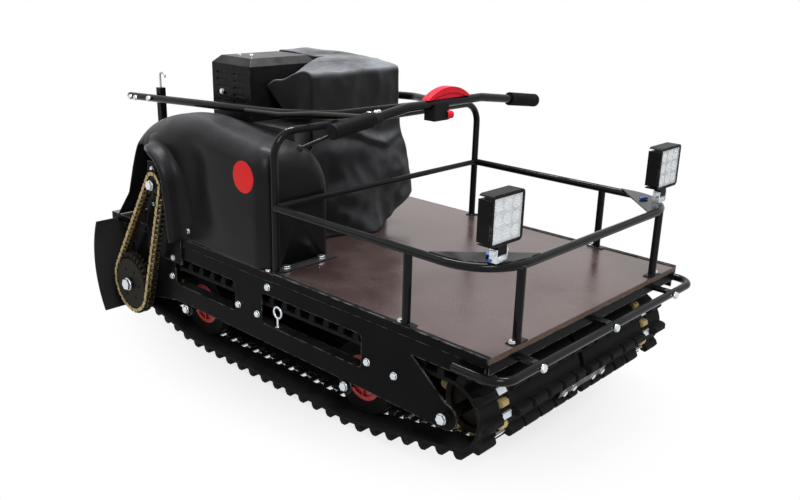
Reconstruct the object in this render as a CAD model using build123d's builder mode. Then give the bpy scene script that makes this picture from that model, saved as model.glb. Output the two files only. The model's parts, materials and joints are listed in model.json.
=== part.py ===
from build123d import *
import os
from math import atan2, cos, hypot, pi, sin

os.makedirs("parts", exist_ok=True)

# Tracked snow tug, parked on the ground: +X forward, +Y left, +Z up, millimetres.
# Most stations are measured back from the front edge of the load deck.

# Deck and chassis
deck_front_x = 739.0
deck_length = 1417.0
deck_width = 800.0
deck_top_z = 325.0
ply = 12.0
plate = 4.0
frame_front_aft = 6.0
frame_rear_aft = 1300.0
lower_rail_drop = 142.0
lower_rail_depth = 50.0
lower_rail_front_aft = 330.0
lower_rail_rear_aft = 1090.0
drum_cheek = 48.0
axle_cheek = 20.0
front_cheek = 30.0
front_rail_depth = 45.0
front_arm_aft = 200.0
window_drop = 60.0
window_corner = 12.0
front_window_aft = 350.0
front_window_length = 355.0
rear_window_aft = 815.0
rear_window_length = 275.0
member_width = 40.0
member_depth = 25.0
member_count = 4
member_rear_inset = 60.0
shaft_stub = 12.0
axle_stub = 4.0
rail_flange = 26.0
rail_flange_front_aft = 340.0
rail_flange_rear_aft = 1085.0
seat = 0.3

# Belts, sprockets and rollers
belt_gap = 16.0
carcass = 8.0
lug_height = 20.0
lug_length = 16.0
lug_pitch = 50.0
drum_radius = 74.0
front_drum_aft = 100.0
front_drum_z = 160.0
rear_drum_aft = 1262.0
rear_drum_z = 147.0
roller_radius = 92.0
roller_width = 30.0
roller_hub_radius = 57.0
roller_axle_radius = 10.0
hub_rim = 10.0
hub_boss_radius = 20.0
hub_recess = 6.0
front_roller_aft = 400.0
rear_roller_aft = 1040.0
roller_side_offset = 130.0
shaft_radius = 12.5
sprocket_width = 30.0
sprocket_side_offset = 105.0
frame_gap = 8.0
cleat_length = 200.0
cleat_count = 12

# Chain drive on the right side
chain_outset = 40.0
chain_pitch = 15.875
chain_width = 12.0
chain_row = 16.6
chain_waist = 4.0
link_overlap = 3.0
sprocket_plate = 8.0
sprocket_hub_radius = 24.0
sprocket_hole_radius = 4.0
sprocket_hole_circle = 44.0
sprocket_holes = 6
chain_height = 14.0
big_teeth = 32
small_teeth = 12
jackshaft_radius = 10.0
chain_clear = 0.5
jackshaft_aft = 1104.0
jackshaft_z = 472.0

# Tubes of the guard rail, hoop and bumper
tube_radius = 9.5
crossbar_radius = 7.6
foot_length = 46.0
foot_width = 24.0
foot_plate = 3.0
rail_height = 166.0
rail_inset = 12.0
rail_front_aft = 12.0
rail_corner = 120.0
mid_post_aft = 228.0
front_post_inset = 98.0
hoop_aft = 663.0
hoop_inset = 16.0
hoop_height = 345.0
hoop_corner = 60.0
bumper_reach = 45.0
bumper_drop = 35.0
bumper_side_gap = 4.5
stub_inset = 124.0
stub_width = 20.0
stub_height = 8.0
bumper_corner = 45.0
bumper_tail_aft = 75.0

# Back end
flap_outset = 72.0
flap_top_aft = 1385.0
flap_bulge = 30.0
flap_foot_aft = 1376.0
flap_foot_z = 36.0
flap_thickness = 5.0
hitch_aft = 1310.0
hitch_length = 165.0
hitch_width = 60.0
hitch_height = 50.0
hitch_gap = 24.0
hitch_throat = 60.0
hitch_pin_inset = 25.0
flap_slot_side = 10.0
flap_slot_below = 15.0
hitch_pin_radius = 8.0

# Tiller, folded forward on the hoop
arm_radius = 11.0
arm_y = 246.0
tongue_aft = 1532.5
pivot_aft = 1400.0
pivot_height = 326.0
tail_spare = 20.0
rest_gap = 1.0
arm_bend_aft = 790.0
arm_bend_radius = 100.0
arm_crest_radius = 300.0
arm_meet_y = 95.0
grip_bar_aft = 465.0
grip_bar_height = 405.0
grip_half_span = 383.0
grip_fall = 30.0
bar_straight_y = 140.0
bar_bend_radius = 150.0
grip_radius = 16.5
grip_length = 120.0
grip_end_wall = 3.0
bar_radius = 11.0
post_y = 220.0
post_size = 20.0
post_over_pin = 30.0
pin_over_arm = 6.0
pin_radius = 5.0
latch_radius = 3.0
latch_rise = 44.0
latch_reach = 26.0
latch_hook = 12.0
latch_bend = 8.0
lever_ball_aft = 505.0
lever_ball_y = -440.0
lever_ball_height = 341.0
guard_width = 22.0
guard_half_span = 80.0
guard_rise = 28.0
switch_y = -36.0
cable_radius = 4.5
cable_end_aft = 930.0
cable_hoop_rise = 33.0
cable_hoop_y = -258.0
cable_bend = 160.0
perch_wall = 5.0
perch_length = 22.0
perch_gap = 4.0
perch_arm = 32.0
perch_arm_height = 16.0
lever_radius = 4.0
lever_ball_radius = 8.0
lever_root_back = 24.0
lever_root_drop = 8.0
guard_foot = 16.0
guard_thickness = 15.0
switch_length = 34.0
switch_width = 52.0
switch_height = 40.0

# Work lamps
lamp_size = 104.0
lamp_depth = 34.0
lamp_corner = 10.0
fin_count = 7
fin_gap = 6.0
fin_depth = 14.0
lamp_pin_radius = 4.0
lamp_pin_end = 3.0
lamp_inset = 53.0
lamp_face_aft = 22.0
lamp_centre_height = 268.0
lamp_pivot_aft = 39.0
lamp_pivot_drop = 70.0
lamp_ear_gap = 1.0
lamp_lug_width = 28.0
lamp_lug_radius = 9.0
lens_size = 90.0
lens_depth = 5.0
lens_sink = 1.0
bracket_strap = 3.0
bracket_width = 18.0
bracket_over_pin = 8.0
corner_plate = 4.0
corner_plate_run = 40.0

# Side cover, engine and its cloth
cover_overhang = 4.0
cover_inner_y = -192.0
cover_wall = 4.0
cover_front_aft = 678.0
cover_front_height = 300.0
cover_front_corner = 60.0
cover_crown_aft = 1030.0
cover_height = 314.0
cover_shoulder_aft = 1230.0
cover_shoulder_height = 236.0
cover_rear_aft = 1375.0
cover_edge_radius = 45.0
cover_window_front_aft = 830.0
cover_window_edge = 40.0
cover_window_height = 190.0
arch_aft = 1040.0
arch_height = 228.0
arch_lean = 19.0
arch_spring_height = 160.0
arch_shoulder = 75.0
arch_rear_aft = 1180.0
arch_inset = 24.0
arch_lip = 17.0
arch_reach = 46.0
arch_taper = 10.0
cover_inner_radius = 25.0
cover_roll_radius = 105.0
cover_crown_radius = 130.0
cover_shoulder_radius = 60.0
engine_front_aft = 830.0
engine_rear_aft = 1200.0
engine_half_width = 180.0
engine_height = 300.0
muffler_rear_aft = 1180.0
muffler_near_y = -186.0
muffler_length = 174.0
muffler_width = 240.0
muffler_height = 170.0
muffler_bevel = 20.0
louvre_columns = 2
louvre_rows = 6
louvre_length = 56.0
louvre_height = 7.0
louvre_pitch = 19.0
louvre_depth = 3.0
louvre_spacing = 76.0
louvre_base = 30.0
cloth_right_y = -187.0
cloth_left_y = 205.0
cloth_foot_aft = 705.0
cloth_knee_aft = 750.0
cloth_knee_height = 130.0
cloth_front_aft = 815.0
cloth_back_aft = 1000.0
cloth_tuck_height = 265.0
cloth_front_height = 445.0
cloth_back_height = 490.0
cloth_tank_y = 62.0
cloth_tank_aft = 1215.0
cloth_tank_height = 475.0

ground_offset = lug_height + carcass
deck_bottom_z = deck_top_z - ply
roller_z = ground_offset + roller_radius
deck_side = deck_width / 2
frame_y = deck_side - plate
belt_width = frame_y - frame_gap - belt_gap / 2
belt_y = belt_gap / 2 + belt_width / 2
chain_y = -(deck_side + chain_outset)
rail_half_width = deck_side - rail_inset
front_post_y = rail_half_width - front_post_inset
hoop_half_width = deck_side - hoop_inset
bumper_half_width = deck_side + bumper_side_gap + tube_radius
flap_half_width = deck_side + flap_outset
lamp_y = rail_half_width - lamp_inset
cover_outer_y = -(deck_side + cover_overhang)


def aft(distance):
    return deck_front_x - distance


def side_plane(y):
    return Plane.XZ.offset(-y)


def tangent_loop(wheels):
    """Straight runs and wraps of a band round wheels (x, z, radius), front-going run lowest."""
    runs = []
    count = len(wheels)
    for index in range(count):
        x1, z1, r1 = wheels[index]
        x2, z2, r2 = wheels[(index + 1) % count]
        span = hypot(x2 - x1, z2 - z1)
        along = ((x2 - x1) / span, (z2 - z1) / span)
        right = (along[1], -along[0])
        lean = (r1 - r2) / span
        square = (1 - lean * lean) ** 0.5
        normal = (square * right[0] + lean * along[0], square * right[1] + lean * along[1])
        start = (x1 + r1 * normal[0], z1 + r1 * normal[1])
        end = (x2 + r2 * normal[0], z2 + r2 * normal[1])
        runs.append((start, end, atan2(normal[1], normal[0])))
    return runs


def raised(wheels, rise):
    return [(x, z, r + rise) for x, z, r in wheels]


def draw_loop(wheels):
    """Closed outline of the band, drawn in the active line builder."""
    runs = tangent_loop(wheels)
    for index, (start, end, heading) in enumerate(runs):
        Line(start, end)
        x, z, r = wheels[(index + 1) % len(wheels)]
        after = runs[(index + 1) % len(runs)]
        turn = (after[2] - heading) % (2 * pi)
        middle = heading + turn / 2
        ThreePointArc(end, (x + r * cos(middle), z + r * sin(middle)), after[0])


def loop_stations(wheels, count):
    """Evenly spaced points (x, z, outward angle) along the band."""
    runs = tangent_loop(wheels)
    stretches = []
    for index, (start, end, heading) in enumerate(runs):
        wheel = wheels[(index + 1) % len(wheels)]
        after = runs[(index + 1) % len(runs)][2]
        stretches.append((hypot(end[0] - start[0], end[1] - start[1]), start, end, heading, None))
        turn = (after - heading) % (2 * pi)
        stretches.append((turn * wheel[2], None, None, heading, wheel))
    total = sum(stretch[0] for stretch in stretches)
    points = []
    for number in range(count):
        left = total * number / count
        for length, start, end, heading, wheel in stretches:
            if left > length:
                left -= length
                continue
            if wheel is None:
                share = left / length
                x = start[0] + share * (end[0] - start[0])
                z = start[1] + share * (end[1] - start[1])
                points.append((x, z, heading))
            else:
                angle = heading + left / wheel[2]
                x = wheel[0] + wheel[2] * cos(angle)
                z = wheel[1] + wheel[2] * sin(angle)
                points.append((x, z, angle))
            break
    return points


def loop_length(wheels):
    runs = tangent_loop(wheels)
    total = 0.0
    for index, (start, end, heading) in enumerate(runs):
        turn = (runs[(index + 1) % len(runs)][2] - heading) % (2 * pi)
        total += hypot(end[0] - start[0], end[1] - start[1]) + turn * wheels[(index + 1) % len(wheels)][2]
    return total


def on_loop(station, y, rise=0.0):
    """Place on the band, raised off it: local Z outward, local X along the band."""
    x, z, angle = station
    normal = (cos(angle), 0, sin(angle))
    tangent = (-sin(angle), 0, cos(angle))
    origin = (x + rise * normal[0], y, z + rise * normal[2])
    return Location(Plane(origin=origin, x_dir=tangent, z_dir=normal))


# Wheels inside each belt, in running order: x, z, radius at the belt's inner face
belt_wheels = [
    (aft(rear_drum_aft), rear_drum_z, drum_radius),
    (aft(rear_roller_aft), roller_z, roller_radius),
    (aft(front_roller_aft), roller_z, roller_radius),
    (aft(front_drum_aft), front_drum_z, drum_radius),
]
pitch_loop = raised(belt_wheels, carcass / 2)
lug_count = round(loop_length(pitch_loop) / lug_pitch)

# Rubber belts with cross lugs
for name, side in (("belt_right", -1), ("belt_left", 1)):
    with BuildPart() as belt:
        with BuildSketch(side_plane(side * belt_y + belt_width / 2)):
            with BuildLine():
                draw_loop(raised(belt_wheels, carcass))
            make_face()
            with BuildLine():
                draw_loop(belt_wheels)
            make_face(mode=Mode.SUBTRACT)
        extrude(amount=belt_width)
        with Locations(*[on_loop(s, side * belt_y) for s in loop_stations(pitch_loop, lug_count)]):
            Box(lug_length, belt_width, carcass / 2 + lug_height, align=(Align.CENTER, Align.CENTER, Align.MIN))
    belt.part.label = name
    export_step(belt.part, f"parts/{name}.step")

# Steel cleats that tie the two belts, midway between lugs
with BuildPart() as belt_cleats:
    between_lugs = loop_stations(pitch_loop, 2 * lug_count)[1::2]
    cleat_places = [between_lugs[number * lug_count // cleat_count] for number in range(cleat_count)]
    with Locations(*[on_loop(s, 0, carcass / 2 + seat) for s in cleat_places]):
        Box(lug_length, cleat_length, lug_height / 2, align=(Align.CENTER, Align.CENTER, Align.MIN))
belt_cleats.part.label = "belt_cleats"
export_step(belt_cleats.part, "parts/belt_cleats.step")

# Drive and idler shafts with their belt sprockets: name, distance aft, height, right end, left end
shaft_table = [
    ("rear", rear_drum_aft, rear_drum_z, -(abs(chain_y) + chain_width), deck_side + shaft_stub),
    ("front", front_drum_aft, front_drum_z, -(deck_side + shaft_stub), deck_side + shaft_stub),
]
sprocket_ys = [side * belt_y + offset for side in (-1, 1) for offset in (-sprocket_side_offset, sprocket_side_offset)]
for name, distance, height, right_end, left_end in shaft_table:
    with BuildPart() as shaft:
        with BuildSketch(side_plane(left_end)):
            with Locations((aft(distance), height)):
                Circle(shaft_radius)
        extrude(amount=left_end - right_end)
    shaft.part.label = f"{name}_shaft"
    export_step(shaft.part, f"parts/{name}_shaft.step")
    with BuildPart() as sprockets:
        for y in sprocket_ys:
            with BuildSketch(side_plane(y + sprocket_width / 2)):
                with Locations((aft(distance), height)):
                    Circle(drum_radius - seat)
                    Circle(shaft_radius + seat, mode=Mode.SUBTRACT)
            extrude(amount=sprocket_width)
    sprockets.part.label = f"{name}_belt_sprockets"
    export_step(sprockets.part, f"parts/{name}_belt_sprockets.step")

# Rollers that press the belts on the ground: distance aft of each axle
roller_ys = [side * belt_y + offset for side in (-1, 1) for offset in (-roller_side_offset, roller_side_offset)]
for name, distance in (("rear", rear_roller_aft), ("front", front_roller_aft)):
    axle_end = deck_side + axle_stub
    with BuildPart() as axle:
        with BuildSketch(side_plane(axle_end)):
            with Locations((aft(distance), roller_z)):
                Circle(roller_axle_radius)
        extrude(amount=2 * axle_end)
    axle.part.label = f"{name}_roller_axle"
    export_step(axle.part, f"parts/{name}_roller_axle.step")
    with BuildPart() as hubs:
        for y in roller_ys:
            with BuildSketch(side_plane(y + roller_width / 2)):
                with Locations((aft(distance), roller_z)):
                    Circle(roller_hub_radius)
                    Circle(roller_axle_radius + seat, mode=Mode.SUBTRACT)
            extrude(amount=roller_width)
            for face_y in (y + roller_width / 2, y - roller_width / 2 + hub_recess):
                with BuildSketch(side_plane(face_y)):
                    with Locations((aft(distance), roller_z)):
                        Circle(roller_hub_radius - hub_rim)
                        Circle(hub_boss_radius, mode=Mode.SUBTRACT)
                extrude(amount=hub_recess, mode=Mode.SUBTRACT)
    hubs.part.label = f"{name}_roller_hubs"
    export_step(hubs.part, f"parts/{name}_roller_hubs.step")
    with BuildPart() as tyres:
        for y in roller_ys:
            with BuildSketch(side_plane(y + roller_width / 2)):
                with Locations((aft(distance), roller_z)):
                    Circle(roller_radius - seat)
                    Circle(roller_hub_radius + seat, mode=Mode.SUBTRACT)
            extrude(amount=roller_width)
    tyres.part.label = f"{name}_roller_tyres"
    export_step(tyres.part, f"parts/{name}_roller_tyres.step")

# Side frames: pressed plates with windows over the rollers
lower_rail_top = deck_top_z - lower_rail_drop
lower_rail_bottom = lower_rail_top - lower_rail_depth
window_top = deck_top_z - window_drop
# Windows over the rollers: distance aft of the front edge, length
frame_windows = [(front_window_aft, front_window_length), (rear_window_aft, rear_window_length)]
for name, side in (("side_frame_right", -1), ("side_frame_left", 1)):
    near = max(side * frame_y, side * deck_side)
    with BuildPart() as side_frame:
        with BuildSketch(side_plane(near)):
            with BuildLine():
                Polyline(
                    (aft(frame_rear_aft), deck_bottom_z),
                    (aft(frame_rear_aft), rear_drum_z),
                    (aft(rear_drum_aft), rear_drum_z - drum_cheek),
                    (aft(lower_rail_rear_aft), lower_rail_bottom),
                    (aft(lower_rail_front_aft), lower_rail_bottom),
                    (aft(front_drum_aft), front_drum_z - front_cheek),
                    (aft(front_drum_aft), front_drum_z + front_cheek),
                    (aft(front_arm_aft), deck_bottom_z - front_rail_depth),
                    (aft(frame_front_aft), deck_bottom_z - front_rail_depth),
                    (aft(frame_front_aft), deck_bottom_z),
                    close=True,
                )
            make_face()
            with Locations((aft(front_drum_aft), front_drum_z)):
                Circle(front_cheek)
            for distance in (rear_roller_aft, front_roller_aft):
                with Locations((aft(distance), roller_z)):
                    Circle(axle_cheek)
            for start, length in frame_windows:
                with Locations((aft(start + length / 2), (lower_rail_top + window_top) / 2)):
                    RectangleRounded(length, window_top - lower_rail_top, window_corner, mode=Mode.SUBTRACT)
            for distance in (rear_roller_aft, front_roller_aft):
                with Locations((aft(distance), roller_z)):
                    Circle(roller_axle_radius + seat, mode=Mode.SUBTRACT)
            for distance, height in ((rear_drum_aft, rear_drum_z), (front_drum_aft, front_drum_z)):
                with Locations((aft(distance), height)):
                    Circle(shaft_radius + seat, mode=Mode.SUBTRACT)
        extrude(amount=plate)
        flange_length = rail_flange_rear_aft - rail_flange_front_aft
        with Locations((aft(rail_flange_rear_aft), side * (frame_y - rail_flange / 2), lower_rail_top)):
            Box(flange_length, rail_flange, plate, align=(Align.MIN, Align.CENTER, Align.MAX))
    side_frame.part.label = name
    export_step(side_frame.part, f"parts/{name}.step")

# Cross members under the deck, between the side frames, at equal steps from front to back
with BuildPart() as cross_members:
    first = member_width / 2
    step = (deck_length - member_rear_inset - member_width) / (member_count - 1)
    for number in range(member_count):
        with Locations((aft(first + number * step), 0, deck_bottom_z)):
            Box(member_width, 2 * frame_y, member_depth, align=(Align.CENTER, Align.CENTER, Align.MAX))
cross_members.part.label = "cross_members"
export_step(cross_members.part, "parts/cross_members.step")

# Load deck of film-faced plywood
with BuildPart() as deck_board:
    with Locations((aft(deck_length / 2), 0, deck_top_z)):
        Box(deck_length, deck_width, ply, align=(Align.CENTER, Align.CENTER, Align.MAX))
deck_board.part.label = "deck_board"
export_step(deck_board.part, "parts/deck_board.step")

# Bumper: one bent tube round the deck's front corners on three stubs
bumper_z = deck_top_z - bumper_drop
with BuildPart() as bumper:
    with BuildLine() as bumper_path:
        FilletPolyline(
            (aft(bumper_tail_aft), -bumper_half_width, bumper_z),
            (aft(-bumper_reach), -bumper_half_width, bumper_z),
            (aft(-bumper_reach), bumper_half_width, bumper_z),
            (aft(bumper_tail_aft), bumper_half_width, bumper_z),
            radius=bumper_corner,
        )
    with BuildSketch(Plane(origin=bumper_path.line @ 0, z_dir=bumper_path.line % 0)):
        Circle(tube_radius)
    sweep()
    stub_y = bumper_half_width - stub_inset
    for y in (-stub_y, 0, stub_y):
        with Locations((aft(-seat), y, bumper_z)):
            Box(bumper_reach, stub_width, stub_height, align=(Align.MIN, Align.CENTER, Align.MIN))
bumper.part.label = "bumper"
export_step(bumper.part, "parts/bumper.step")

# Guard rail round the load deck
rail_z = deck_top_z + rail_height
with BuildPart() as guard_rail:
    with BuildLine() as rail_path:
        FilletPolyline(
            (aft(hoop_aft - tube_radius - seat), -rail_half_width, rail_z),
            (aft(rail_front_aft), -rail_half_width, rail_z),
            (aft(rail_front_aft), rail_half_width, rail_z),
            (aft(hoop_aft - tube_radius - seat), rail_half_width, rail_z),
            radius=rail_corner,
        )
    with BuildSketch(Plane(origin=rail_path.line @ 0, z_dir=rail_path.line % 0)):
        Circle(tube_radius)
    sweep()
    # Posts: distance aft, distance from the middle, length and width of the foot plate
    post_table = [
        (mid_post_aft, rail_half_width, foot_length, foot_width),
        (rail_front_aft, front_post_y, foot_width, foot_length),
    ]
    for distance, outset, length, width in post_table:
        for side in (-1, 1):
            with BuildSketch(Plane.XY.offset(deck_top_z)):
                with Locations((aft(distance), side * outset)):
                    Circle(tube_radius)
            extrude(amount=rail_height)
            with Locations((aft(distance), side * outset, deck_top_z)):
                Box(length, width, foot_plate, align=(Align.CENTER, Align.CENTER, Align.MIN))
    turn = rail_corner * (1 - cos(pi / 4))
    for side in (-1, 1):
        with BuildSketch(Plane.XY.offset(rail_z + tube_radius - corner_plate / 2)):
            with BuildLine():
                corner_arc = ThreePointArc(
                    (aft(rail_front_aft), side * (rail_half_width - rail_corner)),
                    (aft(rail_front_aft + turn), side * (rail_half_width - turn)),
                    (aft(rail_front_aft + rail_corner), side * rail_half_width),
                )
                Polyline(
                    corner_arc @ 1,
                    (aft(rail_front_aft + rail_corner + corner_plate_run), side * rail_half_width),
                    (aft(rail_front_aft), side * (rail_half_width - rail_corner - corner_plate_run)),
                    corner_arc @ 0,
                )
            make_face()
        extrude(amount=corner_plate)
guard_rail.part.label = "guard_rail"
export_step(guard_rail.part, "parts/guard_rail.step")

# Hoop behind the load deck, on which the folded tiller rests
hoop_z = deck_top_z + hoop_height
with BuildPart() as hoop:
    with BuildLine() as hoop_path:
        FilletPolyline(
            (aft(hoop_aft), -hoop_half_width, deck_top_z),
            (aft(hoop_aft), -hoop_half_width, hoop_z),
            (aft(hoop_aft), hoop_half_width, hoop_z),
            (aft(hoop_aft), hoop_half_width, deck_top_z),
            radius=hoop_corner,
        )
    with BuildSketch(Plane(origin=hoop_path.line @ 0, z_dir=hoop_path.line % 0)):
        Circle(tube_radius)
    sweep()
    with BuildSketch(side_plane(hoop_half_width)):
        with Locations((aft(hoop_aft), rail_z)):
            Circle(crossbar_radius)
    extrude(amount=2 * hoop_half_width)
    for side in (-1, 1):
        with Locations((aft(hoop_aft), side * hoop_half_width, deck_top_z)):
            Box(foot_width, foot_width, foot_plate, align=(Align.CENTER, Align.CENTER, Align.MIN))
hoop.part.label = "hoop"
export_step(hoop.part, "parts/hoop.step")

# Tiller posts at the back of the deck, with the pins on which the tiller folds
pivot_z = deck_top_z + pivot_height
with BuildPart() as tiller_posts:
    for side in (-1, 1):
        with Locations((aft(pivot_aft), side * post_y, deck_top_z)):
            Box(post_size, post_size, pivot_height + post_over_pin, align=(Align.CENTER, Align.CENTER, Align.MIN))
        pin_start = side * post_y
        pin_end = side * (arm_y + arm_radius + pin_over_arm)
        with BuildSketch(side_plane(max(pin_start, pin_end))):
            with Locations((aft(pivot_aft), pivot_z)):
                Circle(pin_radius)
        extrude(amount=abs(pin_end - pin_start))
    latch_foot = Vector(aft(pivot_aft), -post_y, pivot_z + post_over_pin)
    with BuildLine() as latch_path:
        FilletPolyline(
            latch_foot,
            latch_foot + Vector(0, 0, latch_rise),
            latch_foot + Vector(latch_reach, 0, latch_rise),
            latch_foot + Vector(latch_reach, 0, latch_rise - latch_hook),
            radius=latch_bend,
        )
    with BuildSketch(Plane(origin=latch_foot, z_dir=latch_path.line % 0)):
        Circle(latch_radius)
    sweep()
tiller_posts.part.label = "tiller_posts"
export_step(tiller_posts.part, "parts/tiller_posts.step")

# Tiller arms: pinned near their tails, bent inward and coped to the grip bar
arm_rest_z = hoop_z + tube_radius + arm_radius + rest_gap
grip_bar_z = deck_top_z + grip_bar_height
rise_share = (pivot_aft - arm_bend_aft) / (pivot_aft - hoop_aft)
arm_bend_z = pivot_z + rise_share * (arm_rest_z - pivot_z)
tail_aft = tongue_aft + tail_spare
tail_z = pivot_z - (tail_aft - pivot_aft) / (pivot_aft - hoop_aft) * (arm_rest_z - pivot_z)
rest_share = (arm_bend_aft - hoop_aft) / (arm_bend_aft - grip_bar_aft)
arm_rest_y = arm_y + rest_share * (arm_meet_y - arm_y)
for name, side in (("tiller_arm_right", -1), ("tiller_arm_left", 1)):
    with BuildPart() as tiller_arm:
        with BuildLine() as arm_path:
            FilletPolyline(
                (aft(tail_aft), side * arm_y, tail_z),
                (aft(arm_bend_aft), side * arm_y, arm_bend_z),
                (aft(hoop_aft), side * arm_rest_y, arm_rest_z),
                (aft(grip_bar_aft), side * arm_meet_y, grip_bar_z),
                radius=[arm_bend_radius, arm_crest_radius],
            )
        with BuildSketch(Plane(origin=arm_path.line @ 0, z_dir=arm_path.line % 0)):
            Circle(arm_radius)
        sweep()
        with BuildSketch(side_plane(side * arm_y + 2 * arm_radius)):
            with Locations((aft(pivot_aft), pivot_z)):
                Circle(pin_radius + seat)
        extrude(amount=4 * arm_radius, mode=Mode.SUBTRACT)
        with BuildSketch(side_plane(bar_straight_y)):
            with Locations((aft(grip_bar_aft), grip_bar_z)):
                Circle(bar_radius + seat)
        extrude(amount=2 * bar_straight_y, mode=Mode.SUBTRACT)
        split(bisect_by=Plane.YZ.offset(aft(grip_bar_aft)), keep=Keep.BOTTOM)
        split(bisect_by=Plane.YZ.offset(aft(tongue_aft)), keep=Keep.TOP)
    tiller_arm.part.label = name
    export_step(tiller_arm.part, f"parts/{name}.step")

# Grip bar: a level middle that falls to the grips
grip_slope = Vector(0, grip_half_span - bar_straight_y, -grip_fall).normalized()
bar_end = Vector(0, grip_half_span, grip_bar_z - grip_fall) - grip_slope * (grip_end_wall + seat)
with BuildPart() as grip_bar:
    with BuildLine() as bar_path:
        FilletPolyline(
            (aft(grip_bar_aft), -bar_end.Y, bar_end.Z),
            (aft(grip_bar_aft), -bar_straight_y, grip_bar_z),
            (aft(grip_bar_aft), bar_straight_y, grip_bar_z),
            (aft(grip_bar_aft), bar_end.Y, bar_end.Z),
            radius=bar_bend_radius,
        )
    with BuildSketch(Plane(origin=bar_path.line @ 0, z_dir=bar_path.line % 0)):
        Circle(bar_radius)
    sweep()
grip_bar.part.label = "grip_bar"
export_step(grip_bar.part, "parts/grip_bar.step")

# Rubber grips, closed at their outer ends
for name, side in (("grip_right", -1), ("grip_left", 1)):
    inward = Vector(0, -side * grip_slope.Y, -grip_slope.Z)
    outer_end = Vector(aft(grip_bar_aft), side * grip_half_span, grip_bar_z - grip_fall)
    with BuildPart() as grip:
        with BuildSketch(Plane(origin=outer_end, x_dir=(1, 0, 0), z_dir=inward)):
            Circle(grip_radius)
        extrude(amount=grip_length)
        with BuildSketch(Plane(origin=outer_end + inward * grip_end_wall, x_dir=(1, 0, 0), z_dir=inward)):
            Circle(bar_radius + seat)
        extrude(amount=grip_length, mode=Mode.SUBTRACT)
    grip.part.label = name
    export_step(grip.part, f"parts/{name}.step")

# Brake lever on its perch inboard of the right grip, with a ball at its end and its cable's sleeve,
# which runs back over the hoop to the outer side of the right arm
perch_inward = Vector(0, grip_slope.Y, -grip_slope.Z)
perch_start = Vector(aft(grip_bar_aft), -grip_half_span, grip_bar_z - grip_fall) + perch_inward * (grip_length + perch_gap)
perch_middle = perch_start + perch_inward * (perch_length / 2)
lever_root = perch_middle - Vector(lever_root_back, 0, lever_root_drop)
lever_ball = Vector(aft(lever_ball_aft), lever_ball_y, deck_top_z + lever_ball_height)
arm_slope = (arm_rest_z - pivot_z) / (pivot_aft - hoop_aft)
cable_side_y = -(arm_y + arm_radius + seat + cable_radius)
cable_end_z = pivot_z + (pivot_aft - cable_end_aft) * arm_slope
with BuildPart() as brake_lever:
    with BuildSketch(Plane(origin=perch_start, x_dir=(1, 0, 0), z_dir=perch_inward)):
        Circle(bar_radius + perch_wall)
        with Locations((-perch_arm / 2, 0)):
            Rectangle(perch_arm, perch_arm_height)
        Circle(bar_radius + seat, mode=Mode.SUBTRACT)
    extrude(amount=perch_length)
    with BuildLine() as lever_path:
        Line(lever_root, lever_ball)
    with BuildSketch(Plane(origin=lever_root, z_dir=lever_path.line % 0)):
        Circle(lever_radius)
    sweep()
    with Locations(lever_ball):
        Sphere(lever_ball_radius)
    with BuildLine() as cable_path:
        FilletPolyline(
            perch_middle - Vector(perch_arm - perch_wall, 0, 0),
            (aft(hoop_aft), cable_hoop_y, hoop_z + cable_hoop_rise),
            (aft(arm_bend_aft), cable_side_y, arm_bend_z),
            (aft(cable_end_aft), cable_side_y, cable_end_z),
            radius=cable_bend,
        )
    with BuildSketch(Plane(origin=cable_path.line @ 0, z_dir=cable_path.line % 0)):
        Circle(cable_radius)
    sweep()
brake_lever.part.label = "brake_lever"
export_step(brake_lever.part, "parts/brake_lever.step")

# Red guard loop over the middle of the bar, and the switch box under it
with BuildPart() as hand_guard:
    with BuildSketch(Plane.YZ.offset(aft(grip_bar_aft) - guard_width / 2)):
        with BuildLine():
            outer_arc = ThreePointArc(
                (-guard_half_span, grip_bar_z + bar_radius + seat),
                (0, grip_bar_z + bar_radius + guard_rise),
                (guard_half_span, grip_bar_z + bar_radius + seat),
            )
            inner_arc = ThreePointArc(
                (guard_half_span - guard_foot, grip_bar_z + bar_radius + seat),
                (0, grip_bar_z + bar_radius + guard_rise - guard_thickness),
                (guard_foot - guard_half_span, grip_bar_z + bar_radius + seat),
            )
            Line(outer_arc @ 1, inner_arc @ 0)
            Line(inner_arc @ 1, outer_arc @ 0)
        make_face()
    extrude(amount=guard_width)
hand_guard.part.label = "hand_guard"
export_step(hand_guard.part, "parts/hand_guard.step")

with BuildPart() as switch_box:
    with Locations((aft(grip_bar_aft), switch_y, grip_bar_z)):
        Box(switch_length, switch_width, switch_height, align=(Align.CENTER, Align.CENTER, Align.MAX))
    with BuildSketch(side_plane(bar_straight_y)):
        with Locations((aft(grip_bar_aft), grip_bar_z)):
            Circle(bar_radius + seat)
    extrude(amount=2 * bar_straight_y, mode=Mode.SUBTRACT)
switch_box.part.label = "switch_box"
export_step(switch_box.part, "parts/switch_box.step")

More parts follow.
